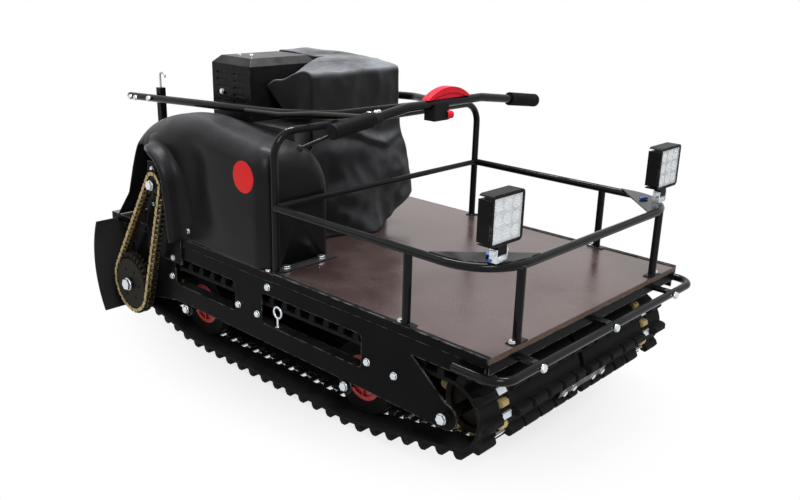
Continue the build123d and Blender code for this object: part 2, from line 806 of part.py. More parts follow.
# Work lamps: body on a lug, lens, and the small U bracket on the rail's corner plates
lamp_z = deck_top_z + lamp_centre_height
bracket_base_z = rail_z + tube_radius + corner_plate / 2 + seat
for name, side in (("right", -1), ("left", 1)):
    with BuildPart() as lamp_body:
        with BuildSketch(Plane.YZ.offset(aft(lamp_face_aft))):
            with Locations((side * lamp_y, lamp_z)):
                RectangleRounded(lamp_size, lamp_size, lamp_corner)
        extrude(amount=-lamp_depth)
        fin_roots = Plane(
            origin=(aft(lamp_face_aft + lamp_depth), side * lamp_y, lamp_z),
            x_dir=(0, 1, 0),
            z_dir=(1, 0, 0),
        )
        with Locations(fin_roots):
            with GridLocations(0, lamp_size / fin_count, 1, fin_count):
                Box(lamp_size, fin_gap, 2 * fin_depth, mode=Mode.SUBTRACT)
        lug_drop = lamp_pivot_drop - lamp_size / 2
        with BuildSketch(side_plane(side * lamp_y + lamp_lug_width / 2)):
            with Locations((aft(lamp_pivot_aft), lamp_z - lamp_pivot_drop)):
                Circle(lamp_lug_radius)
                Rectangle(2 * lamp_lug_radius, lug_drop + lens_depth, align=(Align.CENTER, Align.MIN))
        extrude(amount=lamp_lug_width)
        pivot_span = lamp_lug_width + 2 * (lamp_ear_gap + bracket_strap + lamp_pin_end)
        with BuildSketch(side_plane(side * lamp_y + pivot_span / 2)):
            with Locations((aft(lamp_pivot_aft), lamp_z - lamp_pivot_drop)):
                Circle(lamp_pin_radius)
        extrude(amount=pivot_span)
        with Locations((aft(lamp_face_aft), side * lamp_y, lamp_z)):
            Box(2 * lens_depth, lens_size, lens_size, mode=Mode.SUBTRACT)
    lamp_body.part.label = f"lamp_body_{name}"
    export_step(lamp_body.part, f"parts/lamp_body_{name}.step")
    with BuildPart() as lamp_lens:
        with Locations((aft(lamp_face_aft + lens_depth - seat), side * lamp_y, lamp_z)):
            lens_side = lens_size - 2 * seat
            Box(lens_depth - lens_sink, lens_side, lens_side, align=(Align.MIN, Align.CENTER, Align.CENTER))
    lamp_lens.part.label = f"lamp_lens_{name}"
    export_step(lamp_lens.part, f"parts/lamp_lens_{name}.step")
    with BuildPart() as lamp_bracket:
        half = lamp_lug_width / 2 + lamp_ear_gap
        ear_top = lamp_z - lamp_pivot_drop + bracket_over_pin
        with BuildSketch(Plane.YZ.offset(aft(lamp_pivot_aft) - bracket_width / 2)):
            with BuildLine():
                Polyline(
                    (side * lamp_y - half - bracket_strap, bracket_base_z),
                    (side * lamp_y + half + bracket_strap, bracket_base_z),
                    (side * lamp_y + half + bracket_strap, ear_top),
                    (side * lamp_y + half, ear_top),
                    (side * lamp_y + half, bracket_base_z + bracket_strap),
                    (side * lamp_y - half, bracket_base_z + bracket_strap),
                    (side * lamp_y - half, ear_top),
                    (side * lamp_y - half - bracket_strap, ear_top),
                    close=True,
                )
            make_face()
        extrude(amount=bracket_width)
        with BuildSketch(side_plane(side * lamp_y + lamp_size)):
            with Locations((aft(lamp_pivot_aft), lamp_z - lamp_pivot_drop)):
                Circle(lamp_pin_radius + seat)
        extrude(amount=2 * lamp_size, mode=Mode.SUBTRACT)
    lamp_bracket.part.label = f"lamp_bracket_{name}"
    export_step(lamp_bracket.part, f"parts/lamp_bracket_{name}.step")


# Moulded cover over the drive on the right side
def cover_form(inset):
    """Outer form of the cover, or its hollow when inset by the wall.

    Its inner top edge rolls over in one large arc from the arch-topped front to the crown.
    """
    floor_z = deck_top_z + seat
    with BuildPart() as form:
        with BuildSketch(side_plane(cover_inner_y - inset)):
            with BuildLine() as outline:
                FilletPolyline(
                    (aft(cover_front_aft + inset), floor_z),
                    (aft(cover_front_aft + inset), deck_top_z + cover_front_height - inset),
                    (aft(cover_crown_aft), deck_top_z + cover_height - inset),
                    (aft(cover_shoulder_aft - inset), deck_top_z + cover_shoulder_height - inset / 2),
                    (aft(cover_rear_aft - inset), floor_z),
                    radius=[cover_front_corner - inset, cover_crown_radius, cover_shoulder_radius],
                )
                Line(outline.line @ 1, outline.line @ 0)
            make_face()
        extrude(amount=cover_inner_y - cover_outer_y - 2 * inset)
        edge_groups = form.edges().filter_by(lambda e: e.center().Z > floor_z + cover_wall).group_by(Axis.Y)
        fillet(edge_groups[0], cover_edge_radius - inset)
        fillet(edge_groups[-1], cover_inner_radius - inset)
        roll = cover_roll_radius - inset
        crest = Vector(cover_front_aft - cover_crown_aft, 0, cover_height - cover_front_height)
        roll_centre = Vector(aft(cover_front_aft), cover_inner_y - inset - roll, deck_top_z + cover_front_height - inset - roll)
        with BuildSketch(Plane(origin=roll_centre, x_dir=(0, 1, 0), z_dir=crest)):
            Rectangle(2 * roll, 2 * roll, align=(Align.MIN, Align.MAX))
            Circle(roll, mode=Mode.SUBTRACT)
        extrude(amount=crest.length, both=True, mode=Mode.SUBTRACT)
    return form.part


def draw_arch(rim, rear_aft):
    """Outline of the open arch round the chain, grown by the rim, drawn in the active line builder."""
    foot = (aft(arch_aft - rim), deck_top_z + seat)
    spring = (aft(arch_aft - rim + arch_lean), deck_top_z + arch_spring_height)
    crown = (aft(arch_aft + arch_shoulder), deck_top_z + arch_height + rim)
    rear = (aft(rear_aft), deck_top_z + arch_height + rim)
    Line(foot, spring)
    TangentArc(spring, crown, tangent=Vector(*spring) - Vector(*foot))
    Polyline(crown, rear, (aft(rear_aft), deck_top_z + seat), foot)


with BuildPart() as side_cover:
    add(cover_form(0.0))
    add(cover_form(cover_wall), mode=Mode.SUBTRACT)
    with BuildSketch(side_plane(cover_outer_y + cover_wall)):
        with BuildLine():
            draw_arch(arch_lip, arch_rear_aft)
        make_face()
    extrude(amount=cover_wall + arch_reach, taper=arch_taper)
    with BuildSketch(side_plane(cover_outer_y + arch_inset)):
        with BuildLine():
            draw_arch(0.0, cover_rear_aft + arch_inset)
        make_face()
    extrude(amount=2 * (arch_inset + arch_reach), mode=Mode.SUBTRACT)
    with Locations((aft(cover_window_front_aft), cover_inner_y, deck_top_z)):
        Box(
            cover_rear_aft - 2 * cover_window_edge - cover_window_front_aft,
            3 * cover_wall,
            2 * cover_window_height,
            align=(Align.MAX, Align.CENTER, Align.CENTER),
            mode=Mode.SUBTRACT,
        )
side_cover.part.label = "side_cover"
export_step(side_cover.part, "parts/side_cover.step")

# Engine as one plain block, the louvred box of its silencer and the cloth over its front and tank
with BuildPart() as engine_block:
    with Locations((aft(engine_rear_aft), 0, deck_top_z)):
        Box(
            engine_rear_aft - engine_front_aft,
            2 * engine_half_width,
            engine_height,
            align=(Align.MIN, Align.CENTER, Align.MIN),
        )
engine_block.part.label = "engine_block"
export_step(engine_block.part, "parts/engine_block.step")

with BuildPart() as muffler_box:
    with Locations((aft(muffler_rear_aft), muffler_near_y, deck_top_z + engine_height)):
        Box(muffler_length, muffler_width, muffler_height, align=(Align.MIN, Align.MIN, Align.MIN))
    chamfer(muffler_box.faces().sort_by(Axis.Z)[-1].edges(), muffler_bevel)
    louvre_middle = louvre_base + louvre_pitch * (louvre_rows - 1) / 2
    near_face = Plane(
        origin=(aft(muffler_rear_aft) + muffler_length / 2, muffler_near_y, deck_top_z + engine_height + louvre_middle),
        x_dir=(1, 0, 0),
        z_dir=(0, -1, 0),
    )
    with Locations(near_face):
        with GridLocations(louvre_spacing, louvre_pitch, louvre_columns, louvre_rows):
            Box(louvre_length, louvre_height, 2 * louvre_depth, mode=Mode.SUBTRACT)
muffler_box.part.label = "muffler_box"
export_step(muffler_box.part, "parts/muffler_box.step")

with BuildPart() as engine_cloth:
    with BuildSketch(side_plane(cloth_left_y)):
        with BuildLine():
            Polyline(
                (aft(engine_front_aft - seat), deck_top_z + seat),
                (aft(cloth_foot_aft), deck_top_z + seat),
                (aft(cloth_knee_aft), deck_top_z + cloth_knee_height),
                (aft(cloth_front_aft), deck_top_z + cloth_tuck_height),
                (aft(cloth_front_aft), deck_top_z + cloth_front_height),
                (aft(cloth_back_aft), deck_top_z + cloth_back_height),
                (aft(cloth_back_aft), deck_top_z + engine_height + seat),
                (aft(engine_front_aft - seat), deck_top_z + engine_height + seat),
                close=True,
            )
        make_face()
    extrude(amount=cloth_left_y - cloth_right_y)
    with BuildSketch(side_plane(cloth_left_y)):
        with BuildLine():
            Polyline(
                (aft(cloth_back_aft), deck_top_z + engine_height + seat),
                (aft(cloth_back_aft), deck_top_z + cloth_back_height),
                (aft(cloth_tank_aft), deck_top_z + cloth_tank_height),
                (aft(cloth_tank_aft), deck_top_z + engine_height + seat),
                close=True,
            )
        make_face()
    extrude(amount=cloth_left_y - cloth_tank_y)
engine_cloth.part.label = "engine_cloth"
export_step(engine_cloth.part, "parts/engine_cloth.step")

# Chain drive: jackshaft, sprockets and the chain's links
big_pitch_radius = chain_pitch / 2 / sin(pi / big_teeth)
small_pitch_radius = chain_pitch / 2 / sin(pi / small_teeth)
chain_wheels = [
    (aft(rear_drum_aft), rear_drum_z, big_pitch_radius),
    (aft(jackshaft_aft), jackshaft_z, small_pitch_radius),
]
chain_rows = (chain_y, chain_y + chain_row)
link_count = 2 * round(loop_length(chain_wheels) / chain_pitch / 2)
chain_links = loop_stations(chain_wheels, link_count)
with BuildPart() as drive_chain:
    for row_y in chain_rows:
        for links, width in ((chain_links[0::2], chain_width), (chain_links[1::2], chain_width - chain_waist)):
            with Locations(*[on_loop(s, row_y) for s in links]):
                Box(chain_pitch + link_overlap, width, chain_height)
drive_chain.part.label = "drive_chain"
export_step(drive_chain.part, "parts/drive_chain.step")

# Chain sprockets: name, distance aft, height, pitch radius, hub radius, bore, lightening holes
small_hub_radius = jackshaft_radius + plate
sprocket_table = [
    ("big_sprocket", rear_drum_aft, rear_drum_z, big_pitch_radius, sprocket_hub_radius, shaft_radius, sprocket_holes),
    ("small_sprocket", jackshaft_aft, jackshaft_z, small_pitch_radius, small_hub_radius, jackshaft_radius, 0),
]
for name, distance, height, pitch_radius, hub, bore, holes in sprocket_table:
    with BuildPart() as sprocket:
        for row_y in chain_rows:
            with BuildSketch(side_plane(row_y + sprocket_plate / 2)):
                with Locations((aft(distance), height)):
                    Circle(pitch_radius - chain_height / 2 - chain_clear)
                    Circle(bore + seat, mode=Mode.SUBTRACT)
                    if holes:
                        with PolarLocations(sprocket_hole_circle, holes):
                            Circle(sprocket_hole_radius, mode=Mode.SUBTRACT)
            extrude(amount=sprocket_plate)
        with BuildSketch(side_plane(chain_rows[1])):
            with Locations((aft(distance), height)):
                Circle(hub)
                Circle(bore + seat, mode=Mode.SUBTRACT)
        extrude(amount=chain_row)
    sprocket.part.label = name
    export_step(sprocket.part, f"parts/{name}.step")

with BuildPart() as jackshaft:
    with BuildSketch(side_plane(-engine_half_width - seat)):
        with Locations((aft(jackshaft_aft), jackshaft_z)):
            Circle(jackshaft_radius)
    extrude(amount=-engine_half_width - seat - chain_y + chain_width)
jackshaft.part.label = "jackshaft"
export_step(jackshaft.part, "parts/jackshaft.step")

# Mud flap behind the belts, hung under the back of the deck
with BuildPart() as mud_flap:
    with BuildSketch(side_plane(flap_half_width)):
        with BuildLine():
            rear_arc = ThreePointArc(
                (aft(flap_top_aft), deck_bottom_z),
                (aft(flap_top_aft + flap_bulge), (deck_bottom_z + flap_foot_z) / 2),
                (aft(flap_foot_aft), flap_foot_z),
            )
            front_arc = ThreePointArc(
                (aft(flap_foot_aft - flap_thickness), flap_foot_z),
                (aft(flap_top_aft + flap_bulge - flap_thickness), (deck_bottom_z + flap_foot_z) / 2),
                (aft(flap_top_aft - flap_thickness), deck_bottom_z),
            )
            Line(rear_arc @ 1, front_arc @ 0)
            Line(front_arc @ 1, rear_arc @ 0)
        make_face()
    extrude(amount=2 * flap_half_width)
    with Locations((aft(flap_top_aft), 0, deck_bottom_z)):
        slot_depth = member_depth + hitch_height + flap_slot_below
        Box(4 * flap_bulge, hitch_width + 2 * flap_slot_side, 2 * slot_depth, mode=Mode.SUBTRACT)
mud_flap.part.label = "mud_flap"
export_step(mud_flap.part, "parts/mud_flap.step")

# Tow hitch under the back of the deck: a clevis with a drop pin bore
with BuildPart() as tow_hitch:
    with Locations((aft(hitch_aft), 0, deck_bottom_z - member_depth)):
        Box(hitch_length, hitch_width, hitch_height, align=(Align.MAX, Align.CENTER, Align.MAX))
    with Locations((aft(hitch_aft + hitch_length), 0, deck_bottom_z - member_depth - hitch_height / 2)):
        Box(2 * hitch_throat, 2 * hitch_width, hitch_gap, mode=Mode.SUBTRACT)
    with Locations((aft(hitch_aft + hitch_length - hitch_pin_inset), 0, deck_bottom_z)):
        Cylinder(hitch_pin_radius, 4 * (member_depth + hitch_height), mode=Mode.SUBTRACT)
tow_hitch.part.label = "tow_hitch"
export_step(tow_hitch.part, "parts/tow_hitch.step")
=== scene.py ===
import json
import math
import bpy
import bmesh
from mathutils import Matrix, Vector, noise


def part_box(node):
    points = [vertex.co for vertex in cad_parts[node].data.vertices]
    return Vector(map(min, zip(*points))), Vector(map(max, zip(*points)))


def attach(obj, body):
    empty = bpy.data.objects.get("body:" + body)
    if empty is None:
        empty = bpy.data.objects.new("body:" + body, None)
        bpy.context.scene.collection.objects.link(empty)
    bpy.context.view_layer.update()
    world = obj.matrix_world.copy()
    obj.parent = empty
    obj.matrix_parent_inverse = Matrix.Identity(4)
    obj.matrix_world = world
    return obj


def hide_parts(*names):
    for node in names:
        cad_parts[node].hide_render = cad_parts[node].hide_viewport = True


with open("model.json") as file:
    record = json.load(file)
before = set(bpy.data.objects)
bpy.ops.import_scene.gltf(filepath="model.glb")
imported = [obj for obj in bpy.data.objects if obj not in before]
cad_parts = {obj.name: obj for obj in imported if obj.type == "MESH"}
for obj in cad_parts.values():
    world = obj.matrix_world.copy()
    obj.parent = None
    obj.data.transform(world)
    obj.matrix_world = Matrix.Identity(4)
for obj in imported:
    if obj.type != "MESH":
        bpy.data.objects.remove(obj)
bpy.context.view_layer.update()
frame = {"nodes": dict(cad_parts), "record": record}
nodes = frame["nodes"]
print("frame loaded:", len(nodes), "nodes")

deck = {"front": 0.739, "top": 0.325, "ply": 0.012, "side": 0.400, "length": 1.417}
at = Matrix.Translation


def aft(distance):  # stations run back from the front edge of the deck
    return deck["front"] - distance


def clamped(value):
    return min(1.0, max(0.0, value))


# camera at the photograph's angle
viewpoint = {"azimuth": 42.501, "elevation": 18.4222, "roll": 1.5722, "lens": 38.11, "sensor": 36.0,
             "place": (1.6155, -1.6183, 1.0413)}


def setCamera(values):
    azimuth, elevation, roll = (math.radians(values[key]) for key in ("azimuth", "elevation", "roll"))
    level = math.cos(elevation)
    back = Vector((math.sin(azimuth) * level, -math.cos(azimuth) * level, math.sin(elevation)))
    right = (-back).cross(Vector((0, 0, 1))).normalized()
    up = right.cross(-back)
    across = math.cos(roll) * right + math.sin(roll) * up
    upright = math.cos(roll) * up - math.sin(roll) * right
    data = bpy.data.cameras.new("photoCamera")
    data.lens = values["lens"]
    data.sensor_width = values["sensor"]
    data.sensor_fit = "HORIZONTAL"
    camera = bpy.data.objects.new("photoCamera", data)
    camera.matrix_world = at(values["place"]) @ Matrix((across, upright, back)).transposed().to_4x4()
    bpy.context.scene.collection.objects.link(camera)
    bpy.context.scene.camera = camera


setCamera(viewpoint)
bpy.context.scene.view_settings.view_transform = "Standard"
print("camera set")


# nodes of shader and geometry trees: inputs are constants or sockets to link, and the outputs come back
def shade(tree, kind, *plugs, **values):
    made = tree.nodes.new(kind)
    for key in [key for key in values if key.startswith("set_")]:
        setattr(made, key[4:], values.pop(key))
    for key, value in (*enumerate(plugs), *values.items()):
        socket = made.inputs[key.replace("_", " ") if isinstance(key, str) else key]
        if isinstance(value, bpy.types.NodeSocket):
            tree.links.new(value, socket)
        else:
            socket.default_value = value
    return made.outputs


def calc(tree, operation, *plugs, **values):
    return shade(tree, "ShaderNodeMath", *plugs, set_operation=operation, **values)["Value"]


def mapRange(tree, value, low, high, **values):
    return shade(tree, "ShaderNodeMapRange", Value=value, From_Min=low, From_Max=high, **values)["Result"]


def ownPlace(tree):  # coordinates of the piece itself
    return shade(tree, "ShaderNodeTexCoord")["Object"]


def cloud(tree, **values):
    return shade(tree, "ShaderNodeTexNoise", Vector=ownPlace(tree), **values)["Fac"]


def shaderGroup(name, inputs, outputs):
    group = bpy.data.node_groups.new(name, "ShaderNodeTree")
    for label, value in inputs.items():
        socket = group.interface.new_socket(name=label, in_out="INPUT", socket_type="NodeSocketFloat")
        socket.default_value = value
    for label in outputs:
        group.interface.new_socket(name=label, in_out="OUTPUT", socket_type="NodeSocketFloat")
    return group, group.nodes.new("NodeGroupInput").outputs, group.nodes.new("NodeGroupOutput").inputs


def makeEdgeWear():  # mask of rubbed edges: where a rounded normal leaves the flat one, broken up by noise
    group, source, sink = shaderGroup("edgeWear", {"Radius": 0.002, "Scale": 60.0, "Reach": 0.5}, ("Mask",))
    rounded = shade(group, "ShaderNodeBevel", set_samples=6, Radius=source["Radius"])["Normal"]
    flat = shade(group, "ShaderNodeNewGeometry")["Normal"]
    angle = shade(group, "ShaderNodeVectorMath", rounded, flat, set_operation="DOT_PRODUCT")["Value"]
    bend = mapRange(group, angle, 0.995, 0.86)
    speckle = cloud(group, Scale=source["Scale"], Detail=5.0, Roughness=0.65)
    keep = mapRange(group, calc(group, "SUBTRACT", speckle, source["Reach"]), -0.04, 0.12)
    group.links.new(calc(group, "MULTIPLY", bend, keep), sink["Mask"])
    return group


def makeDustAndLitTop():  # paler upward faces: settled dust, and on the hood cloth and the side cover a painted light on their tops
    group, source, sink = shaderGroup("dustAndLitTop", {"Scale": 14.0, "Amount": 0.3}, ("Mask",))
    facing = shade(group, "ShaderNodeSeparateXYZ", shade(group, "ShaderNodeNewGeometry")["Normal"])
    upward = mapRange(group, facing["Z"], 0.1, 0.95)
    spread = mapRange(group, cloud(group, Scale=source["Scale"], Detail=6.0, Roughness=0.7), 0.3, 0.75)
    dustAndLightMask = calc(group, "MULTIPLY", upward, spread)
    group.links.new(calc(group, "MULTIPLY", dustAndLightMask, source["Amount"]), sink["Mask"])
    return group


def makePatchwork():  # slow blotches and a fine grain, for colour, gloss and bump
    scales = {"Patch Scale": 8.0, "Grain Scale": 500.0}
    group, source, sink = shaderGroup("patchwork", scales, ("Patch", "Grain"))
    patch = cloud(group, Scale=source["Patch Scale"], Detail=4.0, Roughness=0.6)
    grain = cloud(group, Scale=source["Grain Scale"], Detail=3.0, Roughness=0.55)
    group.links.new(mapRange(group, patch, 0.3, 0.7), sink["Patch"])
    group.links.new(grain, sink["Grain"])
    return group


edgeWear = makeEdgeWear()
dustAndLitTop = makeDustAndLitTop()
patchwork = makePatchwork()


def mixColours(tree, first, second, mask):  # a socket or a colour on either side
    made = tree.nodes.new("ShaderNodeMix")
    made.data_type = "RGBA"
    for index, side in ((0, mask), (6, first), (7, second)):  # the colours' sockets among those of all types
        if isinstance(side, tuple):
            made.inputs[index].default_value = (*side, 1.0)
        else:
            tree.links.new(side, made.inputs[index])
    return made.outputs[2]


def makeFinish(name, base, second, rough, gloss=0.12, metal=0.0, coat=0.0, patch=8.0, grain=500.0,
               depth=0.0001, rounding=0.0012, edge=None, topDustAndLight=None, specular=0.5, ior=1.2):
    material = bpy.data.materials.new(name)
    material.use_nodes = True
    tree = material.node_tree
    shader = tree.nodes["Principled BSDF"].inputs
    shader["Metallic"].default_value = metal
    shader["Coat Weight"].default_value = coat
    shader["Coat Roughness"].default_value = 0.12
    shader["Specular IOR Level"].default_value = specular
    shader["IOR"].default_value = 1.5 if specular >= 0.45 else ior  # low specular takes its own
    blotches = shade(tree, "ShaderNodeGroup", set_node_tree=patchwork, Patch_Scale=patch, Grain_Scale=grain)
    colour = mixColours(tree, base, second, blotches["Patch"])
    if edge:
        reach = {"Radius": edge["radius"], "Scale": edge["scale"], "Reach": edge["reach"]}
        worn = shade(tree, "ShaderNodeGroup", set_node_tree=edgeWear, **reach)
        colour = mixColours(tree, colour, edge["colour"], worn["Mask"])
    spread = {"To_Min": rough - gloss / 2, "To_Max": rough + gloss / 2}
    roughness = mapRange(tree, blotches["Patch"], 0.0, 1.0, **spread)
    # upward faces mixed paler: dust, and for the hood and the cover a painted light falling on their tops
    if topDustAndLight:
        fall = {"Scale": topDustAndLight["scale"], "Amount": topDustAndLight["amount"]}
        settledAndLit = shade(tree, "ShaderNodeGroup", set_node_tree=dustAndLitTop, **fall)
        colour = mixColours(tree, colour, topDustAndLight["colour"], settledAndLit["Mask"])
        roughness = calc(tree, "MULTIPLY_ADD", settledAndLit["Mask"], 0.5, roughness)
    bump = {"Strength": 0.6, "Distance": depth, "Height": blotches["Grain"]}
    if rounding:
        bump["Normal"] = shade(tree, "ShaderNodeBevel", set_samples=6, Radius=rounding)["Normal"]
    tree.links.new(colour, shader["Base Color"])
    tree.links.new(roughness, shader["Roughness"])
    tree.links.new(shade(tree, "ShaderNodeBump", **bump)["Normal"], shader["Normal"])
    return material


def opened(material):  # its tree, the shader's inputs, and what feeds the base colour
    shader = material.node_tree.nodes["Principled BSDF"].inputs
    return material.node_tree, shader, shader["Base Color"].links[0].from_socket


rubbedPaint = {"radius": 0.0022, "scale": 45.0, "reach": 0.54, "colour": (0.24, 0.24, 0.24)}


def rubbed(**changes):
    return {**rubbedPaint, **changes}


def dusty(amount):
    return {"scale": 16.0, "amount": amount, "colour": (0.26, 0.25, 0.24)}


blackPaint = makeFinish("blackPaint", (0.0045, 0.0045, 0.005), (0.008, 0.008, 0.0085), 0.10, grain=260.0,
                        specular=0.40, ior=1.25, edge=rubbedPaint, topDustAndLight=dusty(0.03))
framePaint = makeFinish("framePaint", (0.0045, 0.0045, 0.005), (0.008, 0.008, 0.008), 0.34, grain=240.0,
                        depth=0.0003, specular=0.13, edge=rubbed(radius=0.003, reach=0.46), topDustAndLight=dusty(0.07))
zincPlate = makeFinish("zincPlate", (0.72, 0.76, 0.79), (0.58, 0.62, 0.64), 0.27, metal=1.0, patch=60.0,
                       grain=900.0, depth=0.00005, rounding=0.0005)
darkSteel = makeFinish("darkSteel", (0.07, 0.066, 0.058), (0.035, 0.032, 0.028), 0.40, metal=1.0, patch=30.0,
                       edge=rubbed(colour=(0.32, 0.31, 0.29)))
sprocketSteel = makeFinish("sprocketSteel", (0.022, 0.021, 0.016), (0.032, 0.030, 0.022), 0.50, patch=20.0,
                           specular=0.14)
beltWear = {"radius": 0.002, "scale": 70.0, "reach": 0.48, "colour": (0.055, 0.054, 0.052)}
beltRubber = makeFinish("beltRubber", (0.009, 0.009, 0.0095), (0.017, 0.017, 0.017), 0.56, patch=22.0,
                        grain=420.0, depth=0.0003, specular=0.16, edge=beltWear, topDustAndLight=dusty(0.05))
tyreRubber = makeFinish("tyreRubber", (0.008, 0.008, 0.008), (0.015, 0.015, 0.014), 0.62, patch=30.0,
                        grain=380.0, depth=0.0003, specular=0.15)
hubRed = makeFinish("hubRed", (0.66, 0.020, 0.022), (0.50, 0.012, 0.014), 0.34, patch=26.0, grain=350.0,
                    topDustAndLight=dusty(0.08))
# dark brown on the polymer wheels' discs: painted shade inside the belts, their teeth keep the polymer's
# yellow
wheelShade = makeFinish("wheelShade", (0.020, 0.017, 0.012), (0.034, 0.028, 0.018), 0.5, patch=30.0,
                        grain=300.0, specular=0.25)
sprocketYellow = makeFinish("sprocketYellow", (0.66, 0.50, 0.20), (0.52, 0.38, 0.14), 0.46, patch=40.0,
                            grain=300.0)
# paler on the cover's upward faces: painted light on its top
coverLitTop = {"scale": 4.0, "amount": 0.34, "colour": (0.15, 0.15, 0.165)}
coverPlastic = makeFinish("coverPlastic", (0.009, 0.009, 0.010), (0.015, 0.015, 0.016), 0.31, gloss=0.10,
                          patch=5.0, grain=620.0, depth=0.00016, rounding=0.004, specular=0.28, ior=1.24,
                          topDustAndLight=coverLitTop)
engineMetal = makeFinish("engineMetal", (0.10, 0.10, 0.10), (0.06, 0.06, 0.06), 0.46, metal=0.7, patch=18.0,
                         grain=300.0, depth=0.0003, topDustAndLight=dusty(0.12))
mufflerPaint = makeFinish("mufflerPaint", (0.006, 0.006, 0.0066), (0.012, 0.012, 0.013), 0.30, patch=14.0,
                          grain=340.0, rounding=0.003, specular=0.34, ior=1.22,
                          edge=rubbed(colour=(0.16, 0.16, 0.17)), topDustAndLight=dusty(0.22))
chainGold = makeFinish("chainGold", (0.46, 0.36, 0.18), (0.26, 0.20, 0.10), 0.36, metal=1.0, patch=90.0,
                       grain=900.0, rounding=0.0006)
# the same chain as the gold one, dark brown: painted shade on the inner strand
chainInnerShade = makeFinish("chainInnerShade", (0.06, 0.05, 0.034), (0.025, 0.021, 0.015), 0.44, metal=1.0, patch=70.0)
lampAlloy = makeFinish("lampAlloy", (0.008, 0.008, 0.0085), (0.014, 0.014, 0.0145), 0.38, grain=700.0,
                       depth=0.00012, specular=0.2, edge=rubbed(reach=0.56), topDustAndLight=dusty(0.04))
gripRubber = makeFinish("gripRubber", (0.008, 0.008, 0.008), (0.015, 0.015, 0.015), 0.55, patch=40.0,
                        depth=0.0002, specular=0.2)
guardRed = makeFinish("guardRed", (0.84, 0.024, 0.048), (0.76, 0.018, 0.038), 0.32, patch=30.0, grain=400.0,
                      specular=0.3)
controlPlastic = makeFinish("controlPlastic", (0.009, 0.009, 0.009), (0.017, 0.017, 0.017), 0.42, patch=40.0,
                            specular=0.2)
flapRubber = makeFinish("flapRubber", (0.020, 0.021, 0.020), (0.034, 0.035, 0.034), 0.52, patch=7.0,
                        grain=300.0, depth=0.0003, specular=0.25, topDustAndLight=dusty(0.06))
plyEdge = makeFinish("plyEdge", (0.12, 0.062, 0.04), (0.06, 0.03, 0.02), 0.62, patch=120.0, grain=300.0,
                     depth=0.0003)
stickerRed = makeFinish("stickerRed", (0.90, 0.032, 0.034), (0.86, 0.028, 0.030), 0.30, gloss=0.06,
                        patch=12.0, grain=200.0, depth=0.00003, specular=0.3)
connectorBlue = makeFinish("connectorBlue", (0.03, 0.14, 0.55), (0.02, 0.10, 0.44), 0.35, patch=80.0)
lampChip = makeFinish("lampChip", (0.80, 0.74, 0.42), (0.74, 0.66, 0.34), 0.30, patch=300.0, grain=800.0,
                      coat=0.5)
reflector = makeFinish("reflector", (0.80, 0.81, 0.82), (0.70, 0.71, 0.72), 0.30, gloss=0.08, metal=0.7,
                       patch=40.0, depth=0.00003, rounding=0.0004)


def makeDeckFilm():  # phenolic film on plywood: brown, with pale streaks along and across it, partly scuffs from cargo and partly painted streaks of reflected light
    material = makeFinish("deckFilm", (0.036, 0.021, 0.019), (0.058, 0.038, 0.035), 0.25, patch=6.5,
                          grain=700.0, depth=0.00008, specular=0.44, ior=1.88)
    tree, shader, colour = opened(material)
    shader["Specular Tint"].default_value = (1.0, 0.80, 0.79, 1.0)  # brown glaze
    streakWays = (((1.0, 6.0, 1.0), 0.25, 18.0, 0.56), ((6.0, 1.0, 1.0), 0.1, 15.0, 0.58))
    for stretch, turn, scale, low in streakWays:
        way = shade(tree, "ShaderNodeMapping", Vector=ownPlace(tree), Scale=stretch, Rotation=(0, 0, turn))
        streaks = {"Scale": scale, "Detail": 6.0, "Roughness": 0.72}
        scuffAndSheen = shade(tree, "ShaderNodeTexNoise", Vector=way["Vector"], **streaks)["Fac"]
        # pale streak lines: partly scuffs, partly painted reflections of light
        line = mapRange(tree, scuffAndSheen, low, low + 0.22, To_Max=0.30)
        colour = mixColours(tree, colour, (0.17, 0.135, 0.128), line)
    tree.links.new(colour, shader["Base Color"])
    return material


def makeClothFinish():  # coated fabric: fine weave in the bump, its top painted pale: a painted light from above
    # pale grey over the upward faces: painted light on the cloth's top
    topDustAndLight = {"scale": 5.0, "amount": 0.9, "colour": (0.33, 0.345, 0.375)}
    material = makeFinish("hoodCloth", (0.006, 0.006, 0.007), (0.013, 0.013, 0.015), 0.50, gloss=0.16,
                          patch=7.0, grain=260.0, depth=0.0003, rounding=0, specular=0.4, topDustAndLight=topDustAndLight)
    tree, shader, _ = opened(material)
    shader["Sheen Weight"].default_value = 0.12
    thread = {"Vector": ownPlace(tree), "Scale": 260.0, "Distortion": 0.4}
    warp, weft = (shade(tree, "ShaderNodeTexWave", set_bands_direction=way, **thread)["Fac"] for way in "YZ")
    below = shader["Normal"].links[0].from_socket
    bump = shade(tree, "ShaderNodeBump", Strength=0.35, Distance=0.0003, Height=calc(tree, "ADD", warp, weft),
                 Normal=below)
    tree.links.new(bump["Normal"], shader["Normal"])
    return material


def makeLeverFinish():  # dark lever and perch, with its cable's sleeve behind them painted paler: a painted highlight on a dark sleeve
    material = makeFinish("leverFinish", (0.010, 0.010, 0.010), (0.018, 0.018, 0.017), 0.24, patch=40.0,
                          specular=0.4)
    tree, shader, colour = opened(material)
    place = shade(tree, "ShaderNodeSeparateXYZ", ownPlace(tree))
    # the paler grey behind the perch is a painted highlight
    highlightFront, highlightSide = aft(0.4972), -0.30
    behind = calc(tree, "LESS_THAN", place["X"], highlightFront)
    inboard = calc(tree, "GREATER_THAN", place["Y"], highlightSide)
    sleeveHighlight = mixColours(tree, colour, (0.055, 0.052, 0.046), calc(tree, "MULTIPLY", behind, inboard))
    tree.links.new(sleeveHighlight, shader["Base Color"])
    return material


